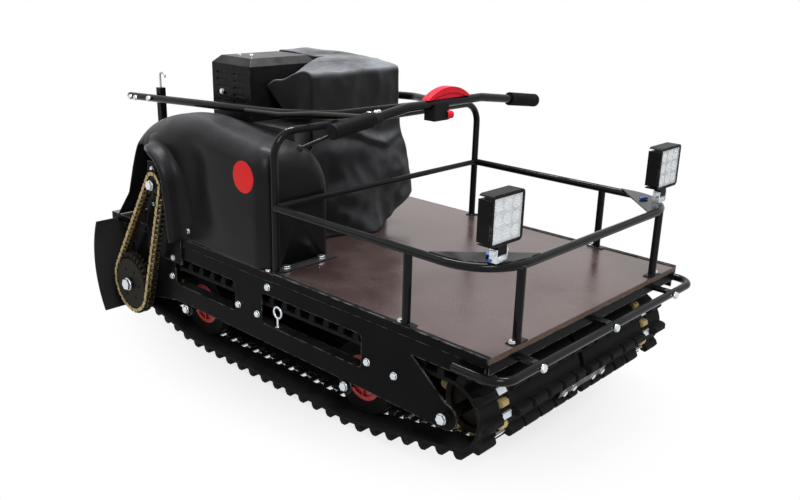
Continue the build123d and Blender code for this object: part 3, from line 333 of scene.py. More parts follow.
def makePostFinish():  # black posts, the bare steel of the latch above them
    material = makeFinish("postFinish", (0.0045, 0.0045, 0.005), (0.008, 0.008, 0.0085), 0.18, coat=0.06,
                          specular=0.24, edge=rubbedPaint)
    tree, shader, colour = opened(material)
    latchFoot = 0.6815
    height = shade(tree, "ShaderNodeSeparateXYZ", ownPlace(tree))["Z"]
    above = calc(tree, "GREATER_THAN", height, latchFoot)
    tree.links.new(mixColours(tree, colour, (0.46, 0.44, 0.40), above), shader["Base Color"])
    tree.links.new(above, shader["Metallic"])
    return material


def makeLensGlass():  # pale cover glass of the lamps, with a faint painted glow
    material = makeFinish("lensGlass", (0.80, 0.83, 0.85), (0.74, 0.77, 0.79), 0.16, gloss=0.06, patch=30.0,
                          grain=300.0, depth=0.00004, rounding=0.0003)
    shader = opened(material)[1]
    shader["Alpha"].default_value = 0.44
    # faint glow: painted light for the glass's bright look, the lamps being unlit
    shader["Emission Color"].default_value = (0.86, 0.90, 0.94, 1.0)
    shader["Emission Strength"].default_value = 0.16
    return material


hoodCloth = makeClothFinish()
lensGlass = makeLensGlass()
slotFinish = {
    "black_paint": blackPaint, "zinc": zincPlate, "dark_steel": darkSteel, "belt_rubber": beltRubber,
    "tyre_rubber": tyreRubber, "hub_red": hubRed, "sprocket_polymer": sprocketYellow,
    "deck_film": makeDeckFilm(), "cover_plastic": coverPlastic, "engine_metal": engineMetal,
    "muffler_paint": mufflerPaint, "cloth": hoodCloth,
    "chain_gold": chainGold, "lamp_alloy": lampAlloy, "lamp_lens": reflector, "grip_rubber": gripRubber,
    "guard_red": guardRed, "control_plastic": controlPlastic, "flap_rubber": flapRubber,
}
nodeFinish = {
    "side_frame_right": framePaint, "side_frame_left": framePaint, "cross_members": framePaint,
    "brake_lever": makeLeverFinish(), "tiller_posts": makePostFinish(),
    "big_sprocket": sprocketSteel, "small_sprocket": sprocketSteel,
}
for part in frame["record"]["subparts"]:
    node = nodes[part["node"]]
    node.data.materials.clear()
    node.data.materials.append(nodeFinish.get(part["node"], slotFinish[part["material_slot"]]))
print("materials on the frame")


# mesh helpers
def rawMesh(bm, name):
    mesh = bpy.data.meshes.new(name)
    bm.to_mesh(mesh)
    bm.free()
    return mesh


def smoothed(mesh, angle):
    mesh.shade_smooth()
    mesh.set_sharp_from_angle(angle=math.radians(angle))
    return mesh


def meshFrom(bm, name, angle=35.0):
    bmesh.ops.recalc_face_normals(bm, faces=bm.faces[:])
    return smoothed(rawMesh(bm, name), angle)


def linked(name, data):
    made = bpy.data.objects.new(name, data)
    bpy.context.scene.collection.objects.link(made)
    return made


def addPiece(name, mesh, material, body="chassis", replaced=()):
    piece = linked(name, mesh)
    if material:
        mesh.materials.clear()
        mesh.materials.append(material)
    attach(piece, body)
    if replaced:
        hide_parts(*replaced)
    return piece


def addWall(piece, thickness):  # the sheet or shell gets its thickness inwards
    wall = piece.modifiers.new("wall", "SOLIDIFY")
    wall.thickness = thickness
    wall.offset = -1.0


def placed(origin, zAxis=(0, 0, 1), xAxis=(1, 0, 0), size=1.0):  # a frame with its own z, x near the given
    up = Vector(zAxis).normalized()
    along = Vector(xAxis) - up * up.dot(Vector(xAxis))
    along.normalize()
    return at(origin) @ Matrix((along, up.cross(along), up)).transposed().to_4x4() @ Matrix.Scale(size, 4)


def circle(steps):
    return [(math.cos(2 * math.pi * k / steps), math.sin(2 * math.pi * k / steps)) for k in range(steps)]


def bridge(bm, rings):  # quads between closed rings of equal count
    for lower, upper in zip(rings, rings[1:]):
        for k in range(len(lower)):
            after = (k + 1) % len(lower)
            bm.faces.new((lower[k], lower[after], upper[after], upper[k]))


def bevelBox(bm, size, place, bevel, steps=1):
    made = bmesh.ops.create_cube(bm, size=1.0)["verts"]
    bmesh.ops.transform(bm, matrix=Matrix.Diagonal((*size, 1.0)), verts=made)
    edges = list({edge for vert in made for edge in vert.link_edges})
    cut = bmesh.ops.bevel(bm, geom=edges, offset=bevel, segments=steps, profile=0.6, affect="EDGES")
    bmesh.ops.transform(bm, matrix=place, verts=list({vert for face in cut["faces"] for vert in face.verts}))


def lathe(bm, profile, place=Matrix.Identity(4), steps=32):  # radius and height pairs, round the local z
    rings = []
    for radius, height in profile:
        spots = [(radius * x, radius * y) for x, y in circle(steps)] if radius > 1e-6 else [(0, 0)]
        rings.append([bm.verts.new(place @ Vector((x, y, height))) for x, y in spots])
    for lower, upper in zip(rings, rings[1:]):
        for k in range(steps):
            after = (k + 1) % steps
            ends = ((lower, k), (lower, after), (upper, after), (upper, k))
            corners = [ring[index % len(ring)] for ring, index in ends]
            kept = [v for n, v in enumerate(corners) if v not in corners[:n]]
            if len(kept) > 2:
                bm.faces.new(kept)


def prism(bm, outline, depth, place=Matrix.Identity(4)):  # a flat outline in local xy, raised along local z
    low = [bm.verts.new(place @ Vector((x, y, 0))) for x, y in outline]
    high = [bm.verts.new(place @ Vector((x, y, depth))) for x, y in outline]
    bm.faces.new(low[::-1])
    bm.faces.new(high)
    bridge(bm, [low, high])


def stack(bm, levels):  # closed stack of oblongs: height, half length, low and high side of each
    rings = []
    for level, reach, low, high in levels:
        corners = ((-reach, low), (reach, low), (reach, high), (-reach, high))
        rings.append([bm.verts.new((x, y, level)) for x, y in corners])
    bridge(bm, rings)
    bm.faces.new(rings[-1])
    bm.faces.new(rings[0][::-1])


def turnedMesh(name, profile, place=Matrix.Identity(4), steps=32, angle=35.0):
    bm = bmesh.new()
    lathe(bm, profile, place, steps)
    return meshFrom(bm, name, angle)


def raisedMesh(name, outline, depth, place, angle=35.0):
    bm = bmesh.new()
    prism(bm, outline, depth, place)
    return meshFrom(bm, name, angle)


def boxMesh(name, *rows):  # each box: its size, place, bevel and the bevel's steps
    bm = bmesh.new()
    for row in rows:
        bevelBox(bm, *row)
    return meshFrom(bm, name)


# geometry node trees
def nodeTree(name, sockets):
    tree = bpy.data.node_groups.new(name, "GeometryNodeTree")
    for label, kind in (("Geometry", "Geometry"), *sockets):
        tree.interface.new_socket(name=label, in_out="INPUT", socket_type="NodeSocket" + kind)
    tree.interface.new_socket(name="Geometry", in_out="OUTPUT", socket_type="NodeSocketGeometry")
    return tree, tree.nodes.new("NodeGroupInput").outputs, tree.nodes.new("NodeGroupOutput").inputs


def vectors(tree, operation, *plugs, **values):
    return shade(tree, "ShaderNodeVectorMath", *plugs, set_operation=operation, **values)["Vector"]


def makeScatter():  # a unit on every point, turned and sized by the point's own attributes
    tree, source, sink = nodeTree("scatterUnits", (("Unit", "Object"), ("Finish", "Material")))
    unit = shade(tree, "GeometryNodeObjectInfo", Object=source["Unit"])["Geometry"]
    named = "GeometryNodeInputNamedAttribute"
    turn = shade(tree, named, set_data_type="FLOAT_VECTOR", Name="turn")["Attribute"]
    size = shade(tree, named, set_data_type="FLOAT_VECTOR", Name="size")["Attribute"]
    turn = shade(tree, "FunctionNodeEulerToRotation", Euler=turn)["Rotation"]
    spread = shade(tree, "GeometryNodeInstanceOnPoints", Points=source["Geometry"], Instance=unit,
                   Rotation=turn, Scale=size)["Instances"]
    real = shade(tree, "GeometryNodeRealizeInstances", Geometry=spread)["Geometry"]
    coat = shade(tree, "GeometryNodeSetMaterial", Geometry=real, Material=source["Finish"])["Geometry"]
    tree.links.new(coat, sink["Geometry"])
    return tree


def makeWrap():  # units in a row, bent onto a loop: x runs along it, z stands off it, y goes across
    tree, source, sink = nodeTree("wrapUnits", (
        ("Unit", "Object"), ("Path", "Object"), ("Count", "Int"), ("Pitch", "Float"), ("Middle", "Float"),
        ("Finish", "Material")))
    unit = shade(tree, "GeometryNodeObjectInfo", Object=source["Unit"])["Geometry"]
    path = shade(tree, "GeometryNodeObjectInfo", Object=source["Path"])["Geometry"]
    step = shade(tree, "ShaderNodeCombineXYZ", X=source["Pitch"])["Vector"]
    row = shade(tree, "GeometryNodeMeshLine", Count=source["Count"], Offset=step)["Mesh"]
    spread = shade(tree, "GeometryNodeInstanceOnPoints", Points=row, Instance=unit)["Instances"]
    real = shade(tree, "GeometryNodeRealizeInstances", Geometry=spread)["Geometry"]
    place = shade(tree, "ShaderNodeSeparateXYZ", shade(tree, "GeometryNodeInputPosition")["Position"])
    whole = shade(tree, "GeometryNodeCurveLength", Curve=path)["Length"]
    station = calc(tree, "FLOORED_MODULO", place["X"], whole)
    sample = shade(tree, "GeometryNodeSampleCurve", set_mode="LENGTH", Curves=path, Length=station)
    outward = vectors(tree, "NORMALIZE", vectors(tree, "CROSS_PRODUCT", (0, 1, 0), sample["Tangent"]))
    lift = vectors(tree, "SCALE", outward, Scale=place["Z"])
    raised = vectors(tree, "ADD", sample["Position"], lift)
    across = calc(tree, "SUBTRACT", source["Middle"], place["Y"])
    shifted = vectors(tree, "ADD", raised, shade(tree, "ShaderNodeCombineXYZ", Y=across)["Vector"])
    moved = shade(tree, "GeometryNodeSetPosition", Geometry=real, Position=shifted)["Geometry"]
    merged = shade(tree, "GeometryNodeMergeByDistance", Geometry=moved, Distance=0.00005)["Geometry"]
    coat = shade(tree, "GeometryNodeSetMaterial", Geometry=merged, Material=source["Finish"])["Geometry"]
    tree.links.new(coat, sink["Geometry"])
    return tree


scatterTree = makeScatter()
wrapTree = makeWrap()


def bakeTree(host, tree, values, name, angle):
    modifier = host.modifiers.new("repeat", "NODES")
    modifier.node_group = tree
    for item in tree.interface.items_tree:
        if item.in_out == "INPUT" and item.name in values:
            modifier[item.identifier] = values[item.name]
    bpy.context.view_layer.update()
    mesh = bpy.data.meshes.new_from_object(host.evaluated_get(bpy.context.evaluated_depsgraph_get()))
    mesh.name = name
    for attribute in ("turn", "size"):
        if attribute in mesh.attributes:
            mesh.attributes.remove(mesh.attributes[attribute])
    return smoothed(mesh, angle)


def scatter(name, unitMesh, places, material, body="chassis", replaced=()):  # places are frames
    points = bpy.data.meshes.new(name + "Points")
    points.from_pydata([tuple(place.translation) for place in places], [], [])
    turn = points.attributes.new("turn", "FLOAT_VECTOR", "POINT")
    size = points.attributes.new("size", "FLOAT_VECTOR", "POINT")
    for k, place in enumerate(places):
        turn.data[k].vector = place.to_euler("XYZ")
        size.data[k].vector = place.to_scale()
    host, unit = linked(name + "Host", points), linked(name + "Unit", unitMesh)
    mesh = bakeTree(host, scatterTree, {"Unit": unit, "Finish": material}, name, 35.0)
    for spare in (host, unit):
        bpy.data.objects.remove(spare)
    return addPiece(name, mesh, None, body, replaced)


def loopLength(points):
    return sum(math.dist(a, b) for a, b in zip(points, points[1:] + points[:1]))


def wrapRow(name, unitMesh, loop, count, middle, material, replaced=(), angle=35.0):
    curve = bpy.data.curves.new(name + "Path", "CURVE")
    curve.dimensions = "3D"
    spline = curve.splines.new("POLY")
    spline.points.add(len(loop) - 1)
    for point, (x, z) in zip(spline.points, loop):
        point.co = (x, 0, z, 1)
    spline.use_cyclic_u = True
    host = linked(name + "Host", bpy.data.meshes.new(name + "Seed"))
    path, unit = linked(name + "Loop", curve), linked(name + "Unit", unitMesh)
    values = {"Unit": unit, "Path": path, "Count": count, "Pitch": loopLength(loop) / count, "Middle": middle,
              "Finish": material}
    mesh = bakeTree(host, wrapTree, values, name, angle)
    for spare in (host, path, unit):
        bpy.data.objects.remove(spare)
    return addPiece(name, mesh, None, "chassis", replaced)


# loops of the belts and the chain, as the wheels inside them give them
def wheelRuns(wheels):
    runs = []
    for first, second in zip(wheels, wheels[1:] + wheels[:1]):
        (x1, z1, r1), (x2, z2, r2) = first, second
        span = math.hypot(x2 - x1, z2 - z1)
        along = ((x2 - x1) / span, (z2 - z1) / span)
        lean = (r1 - r2) / span
        square = math.sqrt(1 - lean * lean)
        out = (square * along[1] + lean * along[0], -square * along[0] + lean * along[1])
        start, end = ((x + r * out[0], z + r * out[1]) for x, z, r in (first, second))
        runs.append((start, end, math.atan2(out[1], out[0])))
    return runs


def wheelLoop(wheels, step=0.004):
    runs = wheelRuns(wheels)
    points = []
    for index, (start, end, heading) in enumerate(runs):
        after = (index + 1) % len(wheels)
        x, z, radius = wheels[after]
        turn = (runs[after][2] - heading) % (2 * math.pi)
        count = max(2, round(math.dist(start, end) / (4 * step)))
        points += [tuple(a + (b - a) * k / count for a, b in zip(start, end)) for k in range(count)]
        count = max(3, round(turn * radius / step))
        angles = [heading + turn * k / count for k in range(count)]
        points += [(x + radius * math.cos(a), z + radius * math.sin(a)) for a in angles]
    return points


running = {
    "carcass": 0.008, "lugHeight": 0.020, "lugPitch": 0.050, "beltMiddle": 0.198, "beltHalf": 0.190,
    "windowSide": 0.105, "drumRadius": 0.074, "frontDrum": (aft(0.100), 0.160),
    "rearDrum": (aft(1.262), 0.147), "rollerRadius": 0.092, "rollerHeight": 0.120,
    "frontRoller": aft(0.400), "rearRoller": aft(1.040), "rollerSide": 0.130,
}
midSkin = running["carcass"] / 2
drumSkin, rollerSkin = running["drumRadius"] + midSkin, running["rollerRadius"] + midSkin
beltWheels = [
    (*running["rearDrum"], drumSkin),
    (running["rearRoller"], running["rollerHeight"], rollerSkin),
    (running["frontRoller"], running["rollerHeight"], rollerSkin),
    (*running["frontDrum"], drumSkin),
]
beltLoop = wheelLoop(beltWheels)
beltCount = round(loopLength(beltLoop) / running["lugPitch"])
beltPitch = loopLength(beltLoop) / beltCount
sides = ((-1, "Right"), (1, "Left"))

# belts: carcass with a row of windows near its outer edge, lug blocks in rows across it
belt = {
    "window": (0.012, 0.038), "windowHalf": 0.018, "lugBase": 0.021, "lugTop": 0.012, "rung": (0.010, 0.006),
    "blocks": ((-0.188, -0.150), (-0.143, -0.097), (-0.090, -0.038), (-0.031, 0.022), (0.029, 0.080),
               (0.130, 0.188)),
}


def beltUnit(values, pitch, outer):
    bm = bmesh.new()
    first, last = values["window"]
    side, half, edge = running["windowSide"], values["windowHalf"], running["beltHalf"]
    xs = [0, 0.004, 0.008, *(first + (last - first) * k / 6 for k in range(7)), 0.042, 0.046, pitch]
    ys = [-edge, -side - half, -side + half, -0.05, 0, 0.05, side - half, side + half, edge]
    holes = {(i, 6 if outer > 0 else 1) for i in range(3, 9)}
    high, low = {}, {}
    for level, corner in ((-midSkin, low), (midSkin, high)):
        for i, x in enumerate(xs):
            for j, y in enumerate(ys):
                corner[i, j] = bm.verts.new((x, y, level))
    for i in range(len(xs) - 1):
        for j in range(len(ys) - 1):
            if (i, j) in holes:
                continue
            cell = [(i, j), (i + 1, j), (i + 1, j + 1), (i, j + 1)]
            around = ((i, j - 1), (i + 1, j), (i, j + 1), (i - 1, j))
            bm.faces.new([high[c] for c in cell])
            bm.faces.new([low[c] for c in cell[::-1]])
            for a, b, beside in zip(cell, cell[1:] + cell[:1], around):
                if beside in holes or beside[1] in (-1, len(ys) - 1):
                    bm.faces.new((high[a], low[a], low[b], high[b]))
    foot, crown, tip = values["lugBase"] / 2, values["lugTop"] / 2, midSkin + running["lugHeight"]
    levels = ((midSkin - 0.002, foot, 0.0), (midSkin + 0.010, foot * 0.85, 0.001),
              (tip - 0.002, crown, 0.003), (tip, crown - 0.002, 0.005))
    for start, end in (sorted((outer * a, outer * b)) for a, b in values["blocks"]):
        stack(bm, [(level, reach, start + inset, end - inset) for level, reach, inset in levels])
    long, thick = values["rung"]
    bevelBox(bm, (long, 2 * edge - 0.004, thick), at((0, 0, midSkin + thick / 2 - 0.001)), 0.0015)
    return rawMesh(bm, "beltUnit")


for side, name in sides:
    middle, node = side * running["beltMiddle"], ("belt_" + name.lower(),)
    wrapRow("beltRubber" + name, beltUnit(belt, beltPitch, -side), beltLoop, beltCount, middle, beltRubber,
            node, 28.0)
print("belts:", beltCount, "lugs each")

# zinc clips round the rungs between the windows
clip = {"length": 0.014, "width": 0.030, "thick": 0.0018, "hump": 0.0032, "leg": 0.0135}


def clipUnit(values, outer):
    bm = bmesh.new()
    y, long, wide = outer * running["windowSide"], values["length"], values["width"]
    thick, hump = values["thick"], values["hump"]
    bevelBox(bm, (long, wide, thick), at((0, y, midSkin + 0.0055)), 0.0006)
    bevelBox(bm, (long, wide * 0.7, hump), at((0, y, -midSkin - hump / 2 + 0.0006)), 0.0012)
    for end in (-1, 1):
        bevelBox(bm, (thick, wide, values["leg"]), at((end * long / 2, y, midSkin / 2 - 0.001)), 0.0004)
    return rawMesh(bm, "clipUnit")


for side, name in sides:
    middle = side * running["beltMiddle"]
    wrapRow("beltClips" + name, clipUnit(clip, -side), beltLoop, beltCount, middle, zincPlate)

# polymer belt sprockets: webbed wheels with a tooth through every window that passes over them
wheel = {"radius": 0.0695, "web": 0.008, "width": 0.026, "bore": 0.0128, "hub": (0.024, 0.026),
         "rim": (0.054, 0.056), "toothWidth": 0.024, "tip": 0.0885, "foot": 0.010, "shoulder": 0.0085,
         "crown": 0.0055}


def drumWindows(drum):  # angles at which the windows pass over a drum
    runs = wheelRuns(beltWheels)
    index = [w[:2] for w in beltWheels].index(drum)
    passed = index or len(runs)  # runs before the drum on the way round
    start = sum(math.dist(a, b) for a, b, _ in runs[:passed])
    start += sum(((runs[k][2] - runs[k - 1][2]) % (2 * math.pi)) * beltWheels[k][2] for k in range(1, passed))
    radius, heading = beltWheels[index][2], runs[index - 1][2]
    turn = (runs[index][2] - heading) % (2 * math.pi)
    station = math.ceil((start - beltPitch / 2) / beltPitch) * beltPitch + beltPitch / 2
    angles = []
    while station < start + turn * radius:
        angles.append(heading + (station - start) / radius)
        station += beltPitch
    spacing = beltPitch / radius
    while angles[-1] + 1.5 * spacing < angles[0] + 2 * math.pi:
        angles.append(angles[-1] + spacing)
    return angles


def toothUnit(values):
    bm = bmesh.new()
    half, foot = values["toothWidth"] / 2, values["foot"]
    levels = ((0.060, foot, half), (0.074, foot, half), (0.083, values["shoulder"], half),
              (values["tip"], values["crown"], half - 0.002))
    stack(bm, [(level, reach, -wide, wide) for level, reach, wide in levels])
    bmesh.ops.bevel(bm, geom=bm.edges[:], offset=0.0012, segments=1, affect="EDGES")
    return meshFrom(bm, "toothUnit")


def wheelUnit(values):
    bm = bmesh.new()
    half, web, bore, rim = values["width"] / 2, values["web"] / 2, values["bore"], values["radius"]
    side = list(zip((bore, *values["hub"], *values["rim"], rim), (half, half, web, web, half, half)))
    lathe(bm, [*((radius, -height) for radius, height in side), *side[::-1], (bore, -half)], steps=40)
    bmesh.ops.remove_doubles(bm, verts=bm.verts[:], dist=1e-6)
    return meshFrom(bm, "wheelUnit")


def bothBelts(offset):  # sides of what stands off the middle of each belt
    return [side * running["beltMiddle"] + way * offset for side in (-1, 1) for way in (-1, 1)]


wheelSides = bothBelts(running["windowSide"])
for name in ("front", "rear"):
    x, z = running[name + "Drum"]
    hubs = [placed((x, y, z), (0, 1, 0)) for y in wheelSides]
    # discs in a dark brown: painted shade inside the belt
    scatter(name + "BeltWheels", wheelUnit(wheel), hubs, wheelShade,
            replaced=(name + "_belt_sprockets",))
    ways = [(math.cos(a), math.sin(a)) for a in drumWindows((x, z))]
    outermost = (wheelSides[0], wheelSides[3])
    teeth = [placed((x, y, z), (u, 0, v), (-v, 0, u)) for y in outermost for u, v in ways]
    scatter(name + "BeltTeeth", toothUnit(wheel), teeth, sprocketYellow)
print("belt sprockets and clips")

# red roller hubs: radial ribs in the recess of each face
rib = {"inner": 0.019, "outer": 0.0475, "thick": 0.0045, "depth": 0.0056, "count": 8, "halfWidth": 0.015}
ribMesh = boxMesh("ribUnit", ((rib["outer"] - rib["inner"], rib["thick"], rib["depth"]),
                              at(((rib["outer"] + rib["inner"]) / 2, 0, -rib["depth"] / 2)), 0.0008))
for name in ("front", "rear"):
    spokes = []
    for y in bothBelts(running["rollerSide"]):
        for face in (-1, 1):
            point = (running[name + "Roller"], y + face * rib["halfWidth"], running["rollerHeight"])
            spokes += [placed(point, (0, face, 0), (u, 0, v)) for u, v in circle(rib["count"])]
    scatter(name + "HubRibs", ribMesh, spokes, hubRed)

# duplex roller chain: plates, rollers and pins on the pitch line
chain = {
    "pitch": 0.015875, "middle": -0.440, "row": 0.0166, "plateHalf": 0.0056, "waist": 0.0042, "plate": 0.0014,
    "inner": 0.0036, "outer": 0.0053, "roller": 0.0050, "rollerHalf": 0.0034, "pin": 0.0026,
    "pinHalf": 0.0068, "bigTeeth": 32, "smallTeeth": 12, "jackshaft": (aft(1.104), 0.472),
}


def pitchRadius(teeth):
    return chain["pitch"] / 2 / math.sin(math.pi / teeth)


chainWheels = [(*running["rearDrum"], pitchRadius(chain["bigTeeth"])),
               (*chain["jackshaft"], pitchRadius(chain["smallTeeth"]))]
chainLoop = wheelLoop(chainWheels, 0.002)
chainUnits = round(loopLength(chainLoop) / chain["pitch"] / 2)
linkPitch = loopLength(chainLoop) / chainUnits / 2


def chainUnit(values):
    bm = bmesh.new()
    half, waist, plate, pin = (values[key] for key in ("plateHalf", "waist", "plate", "pin"))
    for start, offset in ((0.0, values["outer"]), (linkPitch, values["inner"])):
        outline = []
        for centre, first in ((linkPitch, -70), (0.0, 110)):
            angles = [math.radians(first + 20 * k) for k in range(8)]
            outline += [(start + centre + half * math.cos(a), half * math.sin(a)) for a in angles]
            outline.append((start + linkPitch / 2, waist if centre else -waist))
        for level in (offset, -offset - plate):
            prism(bm, outline, plate, placed((0, level + plate, 0), (0, -1, 0)))
    end, ends = values["rollerHalf"], values["pinHalf"]
    for x in (0.0, linkPitch):
        place = placed((x, 0, 0), (0, 1, 0))
        lathe(bm, [(values["roller"], -end), (values["roller"], end)], place, 12)
        lathe(bm, [(0, -ends), (pin, -ends), (pin, ends), (0, ends)], place, 8)
    return meshFrom(bm, "chainUnit")


chainMesh = chainUnit(chain)
# inner strand in a darker copy of the chain's metal: painted shade behind the outer strand
for name, row, material in (("Outer", 0.0, chainGold), ("Inner", chain["row"], chainInnerShade)):
    wrapRow("chain" + name + "Strand", chainMesh, chainLoop, chainUnits, chain["middle"] + row, material,
            ("drive_chain",))
print("chain:", 2 * chainUnits, "links a strand")

# chain sprocket teeth between the rollers
sprocketTooth = {"thick": 0.0052, "outline": ((-0.0046, -0.010), (0.0046, -0.010), (0.00368, -0.003),
                                              (0.0016, 0.0035), (-0.0016, 0.0035), (-0.00368, -0.003))}
toothPlace = at((0, 0, -sprocketTooth["thick"] / 2))
toothMesh = raisedMesh("sprocketToothUnit", sprocketTooth["outline"], sprocketTooth["thick"], toothPlace)
teeth = []
for (x, z, radius), count in zip(chainWheels, (chain["bigTeeth"], chain["smallTeeth"])):
    for y in (chain["middle"], chain["middle"] + chain["row"]):
        for angle in (2 * math.pi * (k + 0.5) / count for k in range(count)):
            u, v = math.cos(angle), math.sin(angle)
            teeth.append(placed((x + radius * u, y, z + radius * v), (0, -1, 0), (-v, 0, u)))
scatter("chainSprocketTeeth", toothMesh, teeth, sprocketSteel)

# bolts: point, the way the head faces, thread size in millimetres
boltShape = {"flats": 0.0085, "head": 0.0055, "washer": 0.0105, "washerThick": 0.0016, "thread": 9}


def boltUnit(values):
    bm = bmesh.new()
    wide, thick = values["washer"], values["washerThick"]
    lathe(bm, [(0, -0.0005), (wide, -0.0005), (wide, thick), (0, thick)], steps=18)
    reach, top = values["flats"] / math.cos(math.pi / 6), thick + values["head"]
    lathe(bm, [(0, thick), (reach, thick), (reach, top - 0.0012), (reach * 0.86, top), (0, top)], steps=6)
    return meshFrom(bm, "boltUnit")


boltMesh = boltUnit(boltShape)
plateY, up, right, ahead = deck["side"], (0, 0, 1), (0, -1, 0), (1, 0, 0)
nearFoot, plateFace = 0.328, -0.4062
bolts = [(aft(-0.0003), y, 0.252, ahead, 5) for y in (-0.20, -0.09, -0.05, 0.06)]  # front cross member
for s in (-1, 1):  # side frames, axles and front shaft
    bolts += [(aft(d), s * plateY, z, (0, s, 0), 8) for d, z in (
        (0.800, 0.205), (0.722, 0.202), (1.105, 0.202), (0.678, 0.286), (0.330, 0.205), (0.247, 0.201))]
    bolts += [(aft(d), s * (plateY + 0.0035), running["rollerHeight"], (0, s, 0), 10) for d in (0.400, 1.040)]
    bolts.append((running["frontDrum"][0], s * (plateY + 0.0115), running["frontDrum"][1], (0, s, 0), 11))
    bolts.append((aft(0.228 + 0.015), s * 0.388, nearFoot, up, 7))  # feet of the rail's posts
    bolts.append((aft(0.012), s * 0.306, nearFoot, up, 7))
bolts += [
    (running["rearDrum"][0], plateY + 0.0115, running["rearDrum"][1], (0, 1, 0), 11),
    (running["rearDrum"][0], -0.4518, running["rearDrum"][1], right, 16),  # chain sprockets
    (chain["jackshaft"][0], -0.4518, chain["jackshaft"][1], right, 12),
    (aft(0.664), -0.352, nearFoot, up, 10), (aft(0.664), -0.238, nearFoot, up, 10),  # cover
    (aft(0.6845), -0.3925, 0.3255, up, 6), (aft(1.015), -0.4005, 0.354, right, 7),
    (aft(1.135), -0.186, deck["top"] + 0.372, right, 7),  # silencer
    (aft(1.128), -0.128, deck["top"] + 0.470, up, 6), (aft(1.092), -0.113, deck["top"] + 0.470, up, 6),
    (aft(1.165), plateFace, 0.499, right, 7), (aft(1.171), plateFace, 0.398, right, 5),  # bearing plate
    (aft(1.172), plateFace, 0.264, right, 7), (aft(1.086), plateFace, 0.262, right, 7),
]
bolts += [(aft(-0.0562), y, 0.2895, ahead, 8) for y in (-0.290, 0.0, 0.290)]  # bumper
boltPlaces = [placed(point, way, (0.3, 0.5, 0.8), size / boltShape["thread"]) for *point, way, size in bolts]
scatter("frameBolts", boltMesh, boltPlaces, zincPlate)
print("bolts:", len(bolts))

# steel cleats that tie the belts: four bolts each, and one more cleat on the front arc
cleat = {"count": 12, "spots": (-0.082, -0.042, 0.042, 0.082), "thick": 0.0103, "front": math.radians(-18),
         "long": 0.024, "wide": 0.196}


def loopFrame(points, station):  # point and outward way at a distance along a loop
    left = station % loopLength(points)
    for a, b in zip(points, points[1:] + points[:1]):
        length = math.dist(a, b)
        if left <= length:
            along = ((b[0] - a[0]) / length, (b[1] - a[1]) / length)
            return (a[0] + along[0] * left, a[1] + along[1] * left), (along[1], -along[0])
        left -= length


def turnFrom(values, k):  # how far a lug gap lies from the front cleat's place round the front drum
    (x, z), _ = loopFrame(beltLoop, (k + 0.5) * beltPitch)
    x, z = x - running["frontDrum"][0], z - running["frontDrum"][1]
    return abs(math.atan2(z, x) - values["front"]) + 10 * (x < 0)


frontGap = min(range(beltCount), key=lambda k: turnFrom(cleat, k))
rise = midSkin + cleat["thick"]
cleatBolts = []
for gap in [k * beltCount // cleat["count"] for k in range(cleat["count"])] + [frontGap]:
    (x, z), (outX, outZ) = loopFrame(beltLoop, (gap + 0.5) * beltPitch)
    x, z, out = x + outX * rise, z + outZ * rise, (outX, 0, outZ)
    cleatBolts += [placed((x, y, z), out, (0, 1, 0), 0.8) for y in cleat["spots"]]
scatter("cleatBolts", boltMesh, cleatBolts, zincPlate)
barPlace = placed((x, 0, z), out, (0, 1, 0)) @ at((0, 0, -cleat["thick"] / 2))
frontCleat = boxMesh("frontCleat", ((cleat["wide"], cleat["long"], cleat["thick"]), barPlace, 0.0012, 2))
addPiece("frontCleat", frontCleat, darkSteel)
print("cleats:", cleat["count"] + 1)

# cloth hood: a top over the front of the engine, narrower to the rear, and an apron that falls to the deck
hood = {
    "right": -0.187, "left": 0.204, "narrowRight": 0.064, "columns": 46, "skirt": 0.115, "skirtRows": 11,
    "thick": 0.0014,
    "section": ((1.214, 0.470), (1.10, 0.470), (1.00, 0.468), (0.90, 0.462), (0.834, 0.454), (0.820, 0.450),
                (0.813, 0.441), (0.810, 0.405), (0.812, 0.33), (0.806, 0.265), (0.806, 0.0)),
    "foot": ((-0.187, 0.015, 0.0), (-0.05, 0.038, 0.0), (0.026, 0.074, 0.0), (0.10, 0.066, 0.03),
             (0.22, 0.042, 0.085)),  # y, reach forward, height of the hem
    "topPoints": 6, "step": 0.0105, "crease": 0.262, "standIn": 0.052, "slump": 0.046, "tip": 0.024,
    "slant": 0.72, "slot": ((-0.137, -0.084), (-0.085, -0.004)), "slotDepth": 0.008,
    "slotWidth": 0.010, "flatWidth": 0.62,
}


def hoodFoot(values, y):  # reach and height of the hem between the listed points
    for (y1, *first), (y2, *second) in zip(values["foot"], values["foot"][1:]):
        if y <= y2:
            share = clamped((y - y1) / (y2 - y1))
            return [p + (q - p) * share for p, q in zip(first, second)]
    return values["foot"][-1][1:]


def crumple(u, v):  # creases with sharp crests
    large, small = noise.noise((u * 8, v * 7, 5.3)), noise.noise((u * 19, v * 16, 9.1))
    return 0.0065 * (0.4 - 2 * abs(large)) + 0.0034 * (0.4 - 2 * abs(small))


def hoodTop(values, distance, y, z, hollow):  # the top sags, slumps at its right rear, and is creased
    x = aft(distance)
    fallen = clamped((0.06 - y) / 0.16) * clamped((distance - 0.835) / 0.12)
    rear = clamped((distance - 0.95) / 0.05) ** 2
    z -= values["slump"] * fallen * fallen * (3 - 2 * fallen) + values["tip"] * fallen * rear
    z -= 0.006 * hollow * (0.6 + 0.9 * noise.noise((x * 9, y * 9, 0.4))) - 0.4 * crumple(x, y)
    start, end = (Vector(point) for point in values["slot"])
    spot = Vector((x, y))
    nearest = start.lerp(end, clamped((spot - start).dot(end - start) / (end - start).length_squared))
    return z - values["slotDepth"] * math.exp(-(((spot - nearest).length / values["slotWidth"]) ** 2))


